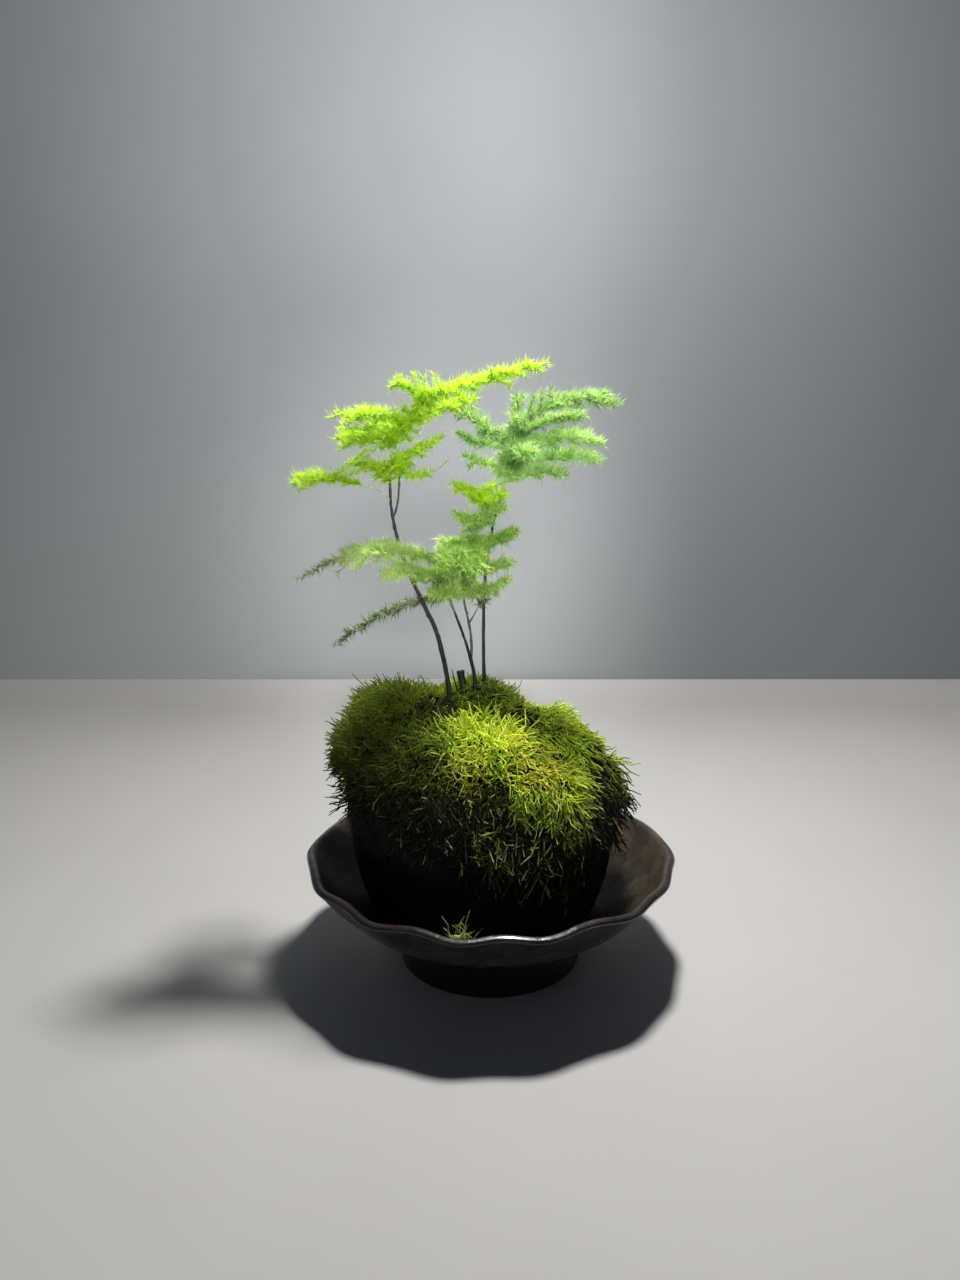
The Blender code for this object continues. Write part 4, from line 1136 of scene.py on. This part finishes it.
def frond_tree():
    """Clothes twigs with whorls of needle-like cladodes that point forward and thin out to a tip."""
    tree, given = growing_tree(
        "fern frond", Int=["Needles", "Seed"], Material=["Foliage", "Bark"],
        Float=["Whorl Spacing", "Needle Length", "Needle Width", "Lift"],
    )
    twigs = add(tree, "GeometryNodeMeshToCurve", given)
    thick, leafy = (add(tree, "GeometryNodeInputNamedAttribute", key) for key in ("thick", "leafy"))
    three_sided = add(tree, "GeometryNodeCurvePrimitiveCircle", 3, Radius=1.0)
    wood = add(tree, "GeometryNodeCurveToMesh", twigs, three_sided, thick, Fill_Caps=True)
    wood = add(tree, "GeometryNodeStoreNamedAttribute", wood, Name="young", Value=0.85)
    wood = surfaced(tree, wood, given["Bark"])
    whorls = add(tree, "GeometryNodeCurveToPoints", twigs, Length=given["Whorl Spacing"], mode="LENGTH")
    whorls = add(
        tree, "GeometryNodeStoreNamedAttribute", whorls,
        Name="turn", Value=whorls["Rotation"], data_type="QUATERNION",
    )
    needles = add(tree, "GeometryNodeDuplicateElements", whorls, Amount=given["Needles"], domain="POINT")
    tint = add(tree, "FunctionNodeRandomValue", 0.0, 1.0, Seed=4)
    needles = add(tree, "GeometryNodeStoreNamedAttribute", needles, Name="tint", Value=tint)
    needle = add(tree, "GeometryNodeMeshCone", 3, Radius_Top=0.0, Radius_Bottom=0.5, Depth=1.0)
    along = add(tree, "ShaderNodeSeparateXYZ", add(tree, "GeometryNodeInputPosition"))["Z"]
    needle = add(tree, "GeometryNodeStoreNamedAttribute", needle, Name="along", Value=along)
    # needles are shorter and fewer where the frond is less leafy
    taper = add(tree, "ShaderNodeMapRange", leafy, 0.3, 1.0, 0.7, 1.0)
    length = add(tree, "FunctionNodeRandomValue", 0.45, 1.1, Seed=9) * (taper * given["Needle Length"])
    size = add(tree, "ShaderNodeCombineXYZ", given["Needle Width"], given["Needle Width"], length)
    chance = add(tree, "FunctionNodeRandomValue", 0.0, 0.9, Seed=12)
    kept = add(tree, "FunctionNodeCompare", chance, leafy, data_type="FLOAT", operation="LESS_THAN")
    leaves = add(
        tree, "GeometryNodeInstanceOnPoints", needles, kept,
        Instance=needle, Rotation=needle_turn(tree, given), Scale=size,
    )
    leaves = add(tree, "GeometryNodeRealizeInstances", leaves)
    leaves = add(tree, "GeometryNodeSetMaterial", leaves, Material=given["Foliage"])
    add(tree, "NodeGroupOutput", add(tree, "GeometryNodeJoinGeometry", [wood, leaves]))
    return tree


# the foliage of fronds that isn't like the rest of their stem's, by how their names start: the middle
# crown wears the lime partly as painted light where the right stem's fronds shade it, and the right
# stem's lower tiers and middle right frond a paler green as painted light under the fronds above
UNLIKE = {
    "middle_frond_low_left": "old", "middle_frond_grey": "old", "middle_frond_twig": "old",
    "middle_frond_crown": "left", "middle_frond_front": "deep", "right_frond_low": "fresh",
    "right_frond_middle_right": "fresh",
}


def make_fronds():
    tree = frond_tree()
    foliage = {
        "left": fern_cladodes("lime_cladodes", "#74ac18", "#b6ec22", "#c4f22c"),
        "middle": fern_cladodes("green_cladodes", "#568c2c", "#c0ec70", "#c6ee7c", ageing=0.85),
        # the right stem's bluer, darker green is partly its own and partly painted shade
        "right": fern_cladodes("blue_green_cladodes", "#2f601f", "#7ab852", "#96ca60", joint_painted_light=0.6),
        "deep": fern_cladodes("deep_green_cladodes", "#3c6e1e", "#92c646", "#9ece54"),
        # painted light: a paler green for the right stem's lower fronds, which the fronds above shade
        "fresh": fern_cladodes("painted_light_green_cladodes", "#4a8434", "#b4ee76", "#c4f67c", joint_painted_light=0.6),
        "old": fern_cladodes("old_cladodes", "#262e22", "#526642", "#64574f"),
    }
    for seed, (node, frond) in enumerate(FRONDS.items()):
        stem = node.split("_")[0]
        kind = next((kind for start, kind in UNLIKE.items() if node.startswith(start)), stem)
        twigs = twig_lines(f"{node}_twigs", twigs_of(node, frond, random.Random(100 + seed)))
        # real needles are half as wide; these are as coarse as they need to be to show
        spray = grow(
            f"{node}_spray", twigs, tree, Whorl_Spacing=0.8 * MM, Needles=4 if kind == "old" else 5,
            Needle_Length=4.8 * MM, Needle_Width=0.37 * MM, Lift=LIFT[stem], Seed=seed,
            Foliage=foliage[kind], Bark=bpy.data.materials["fern_stem"],
        )
        place(spray, "foliage", node)


# ---------------------------------------------------------------- studio


def swept(name, profile, half, card):
    """A sheet that follows a profile of (y, z) in metres and is half wide each way."""
    points = [(x, y, z) for y, z in profile for x in (-half, half)]
    faces = [(2 * i, 2 * i + 1, 2 * i + 3, 2 * i + 2) for i in range(len(profile) - 1)]
    sheet = mesh_object(name, points, faces=faces)
    sheet.data.materials.append(card)
    sheet.data.shade_smooth()


def make_card(name, light, dark, low=None):
    """Matt painted card, a little cloudy; low is painted light near the table, and a card with it also
    gets painted shade at its right and over the foliage lamp's spill behind the plant.
    """
    card, tree, shader, spot = new_material(name, Roughness=0.85)
    colour = coated(tree, dark, (light, add(tree, "ShaderNodeTexNoise", spot, 1 / 60, 3, 0.55)))
    if low:
        side = add(tree, "ShaderNodeSeparateXYZ", spot)
        from_plant = spot.do("DISTANCE", (-40, 380, 130))
        colour = coated(
            tree, colour,
            # painted light low on the board, painted shade at its right and over the foliage lamp's spill
            (low, (side["Z"], 340, 40)),
            ("#54585c", (side["X"], -20, 200, 0.0, 0.6)),
            ("#585c60", (from_plant, 180, 30, 0.0, 0.32)),
        )
    feed(shader, Base_Color=colour)
    return card


def lamp(name, kind, spot, target, power, colour, **settings):
    """A lamp that stands at a spot and points at a target."""
    light = bpy.data.lights.new(name, kind)
    light.energy, light.color = power, colour
    for key, value in settings.items():
        setattr(light, key, value)
    made = put(name, light)
    made.location = spot
    made.rotation_euler = (Vector(target) - Vector(spot)).to_track_quat("-Z", "Y").to_euler()


def make_studio():
    """A plain pale floor turned up in front of a grey board, a lamp overhead, and soft light all round."""
    turn = [(0.12 + 0.06 * math.sin(a), 0.06 - 0.06 * math.cos(a)) for a in np.linspace(0, math.pi / 2, 12)]
    card = make_card("pale_card", "#bbbab8", "#b5b4b2")
    swept("pale_floor", [(-1.2, 0.0)] + turn + [(0.18, 0.075)], 1.4, card)
    swept("back_table", [(0.2, 0.03), (0.38, 0.03)], 1.4, card)
    # the grey board's low colour is painted light near the table
    card = make_card("grey_board", "#85898c", "#7f8386", "#9fa3a4")
    swept("grey_board", [(0.38, 0.03), (0.42, 1.4)], 1.4, card)
    warm, cool = (1.0, 0.99, 0.96), (0.93, 0.96, 1.0)
    lamp("overhead_lamp", "POINT", (0.046, 0.034, 0.470), (0, 0, 0), 11.0, warm, shadow_soft_size=0.027)
    lamp("front_fill", "AREA", (-0.4, -0.9, 0.6), (0.0, 0.0, 0.1), 0.45, cool, size=0.8)
    for name, spot, target, power, angle, radius in (
        ("moss_lamp", (0.12, -0.10, 0.46), (-0.005, -0.029, 0.094), 7.5, 10, 0.01),
        ("foliage_lamp", (0.07, -0.75, 0.32), (0.0, 0.0, 0.197), 61.0, 14, 0.09),
    ):
        lamp(
            name, "SPOT", spot, target, power, warm,
            spot_size=math.radians(angle), spot_blend=0.9, shadow_soft_size=radius,
        )
    world = bpy.data.worlds.new("room")
    bpy.context.scene.world = world
    world.use_nodes = True
    feed(world.node_tree.nodes["Background"], Color="#a3b3e2", Strength=0.042)
    bpy.context.scene.view_settings.view_transform = "Standard"


def make_camera():
    camera = bpy.data.cameras.new("camera")
    camera.sensor_width, camera.lens = 36.0, 27.06
    camera.clip_start = 0.01
    made = put("camera", camera)
    made.location = (-0.0042, -0.371, 0.2002)
    made.rotation_euler = (math.radians(90 - 10.43), 0, 0)
    bpy.context.scene.camera = made


make_camera()
make_studio()
make_bowl()
make_rock()
make_moss()
make_stems()
make_fronds()
CAD["soil_plug"].data.materials.clear()
CAD["soil_plug"].data.materials.append(peat_soil())
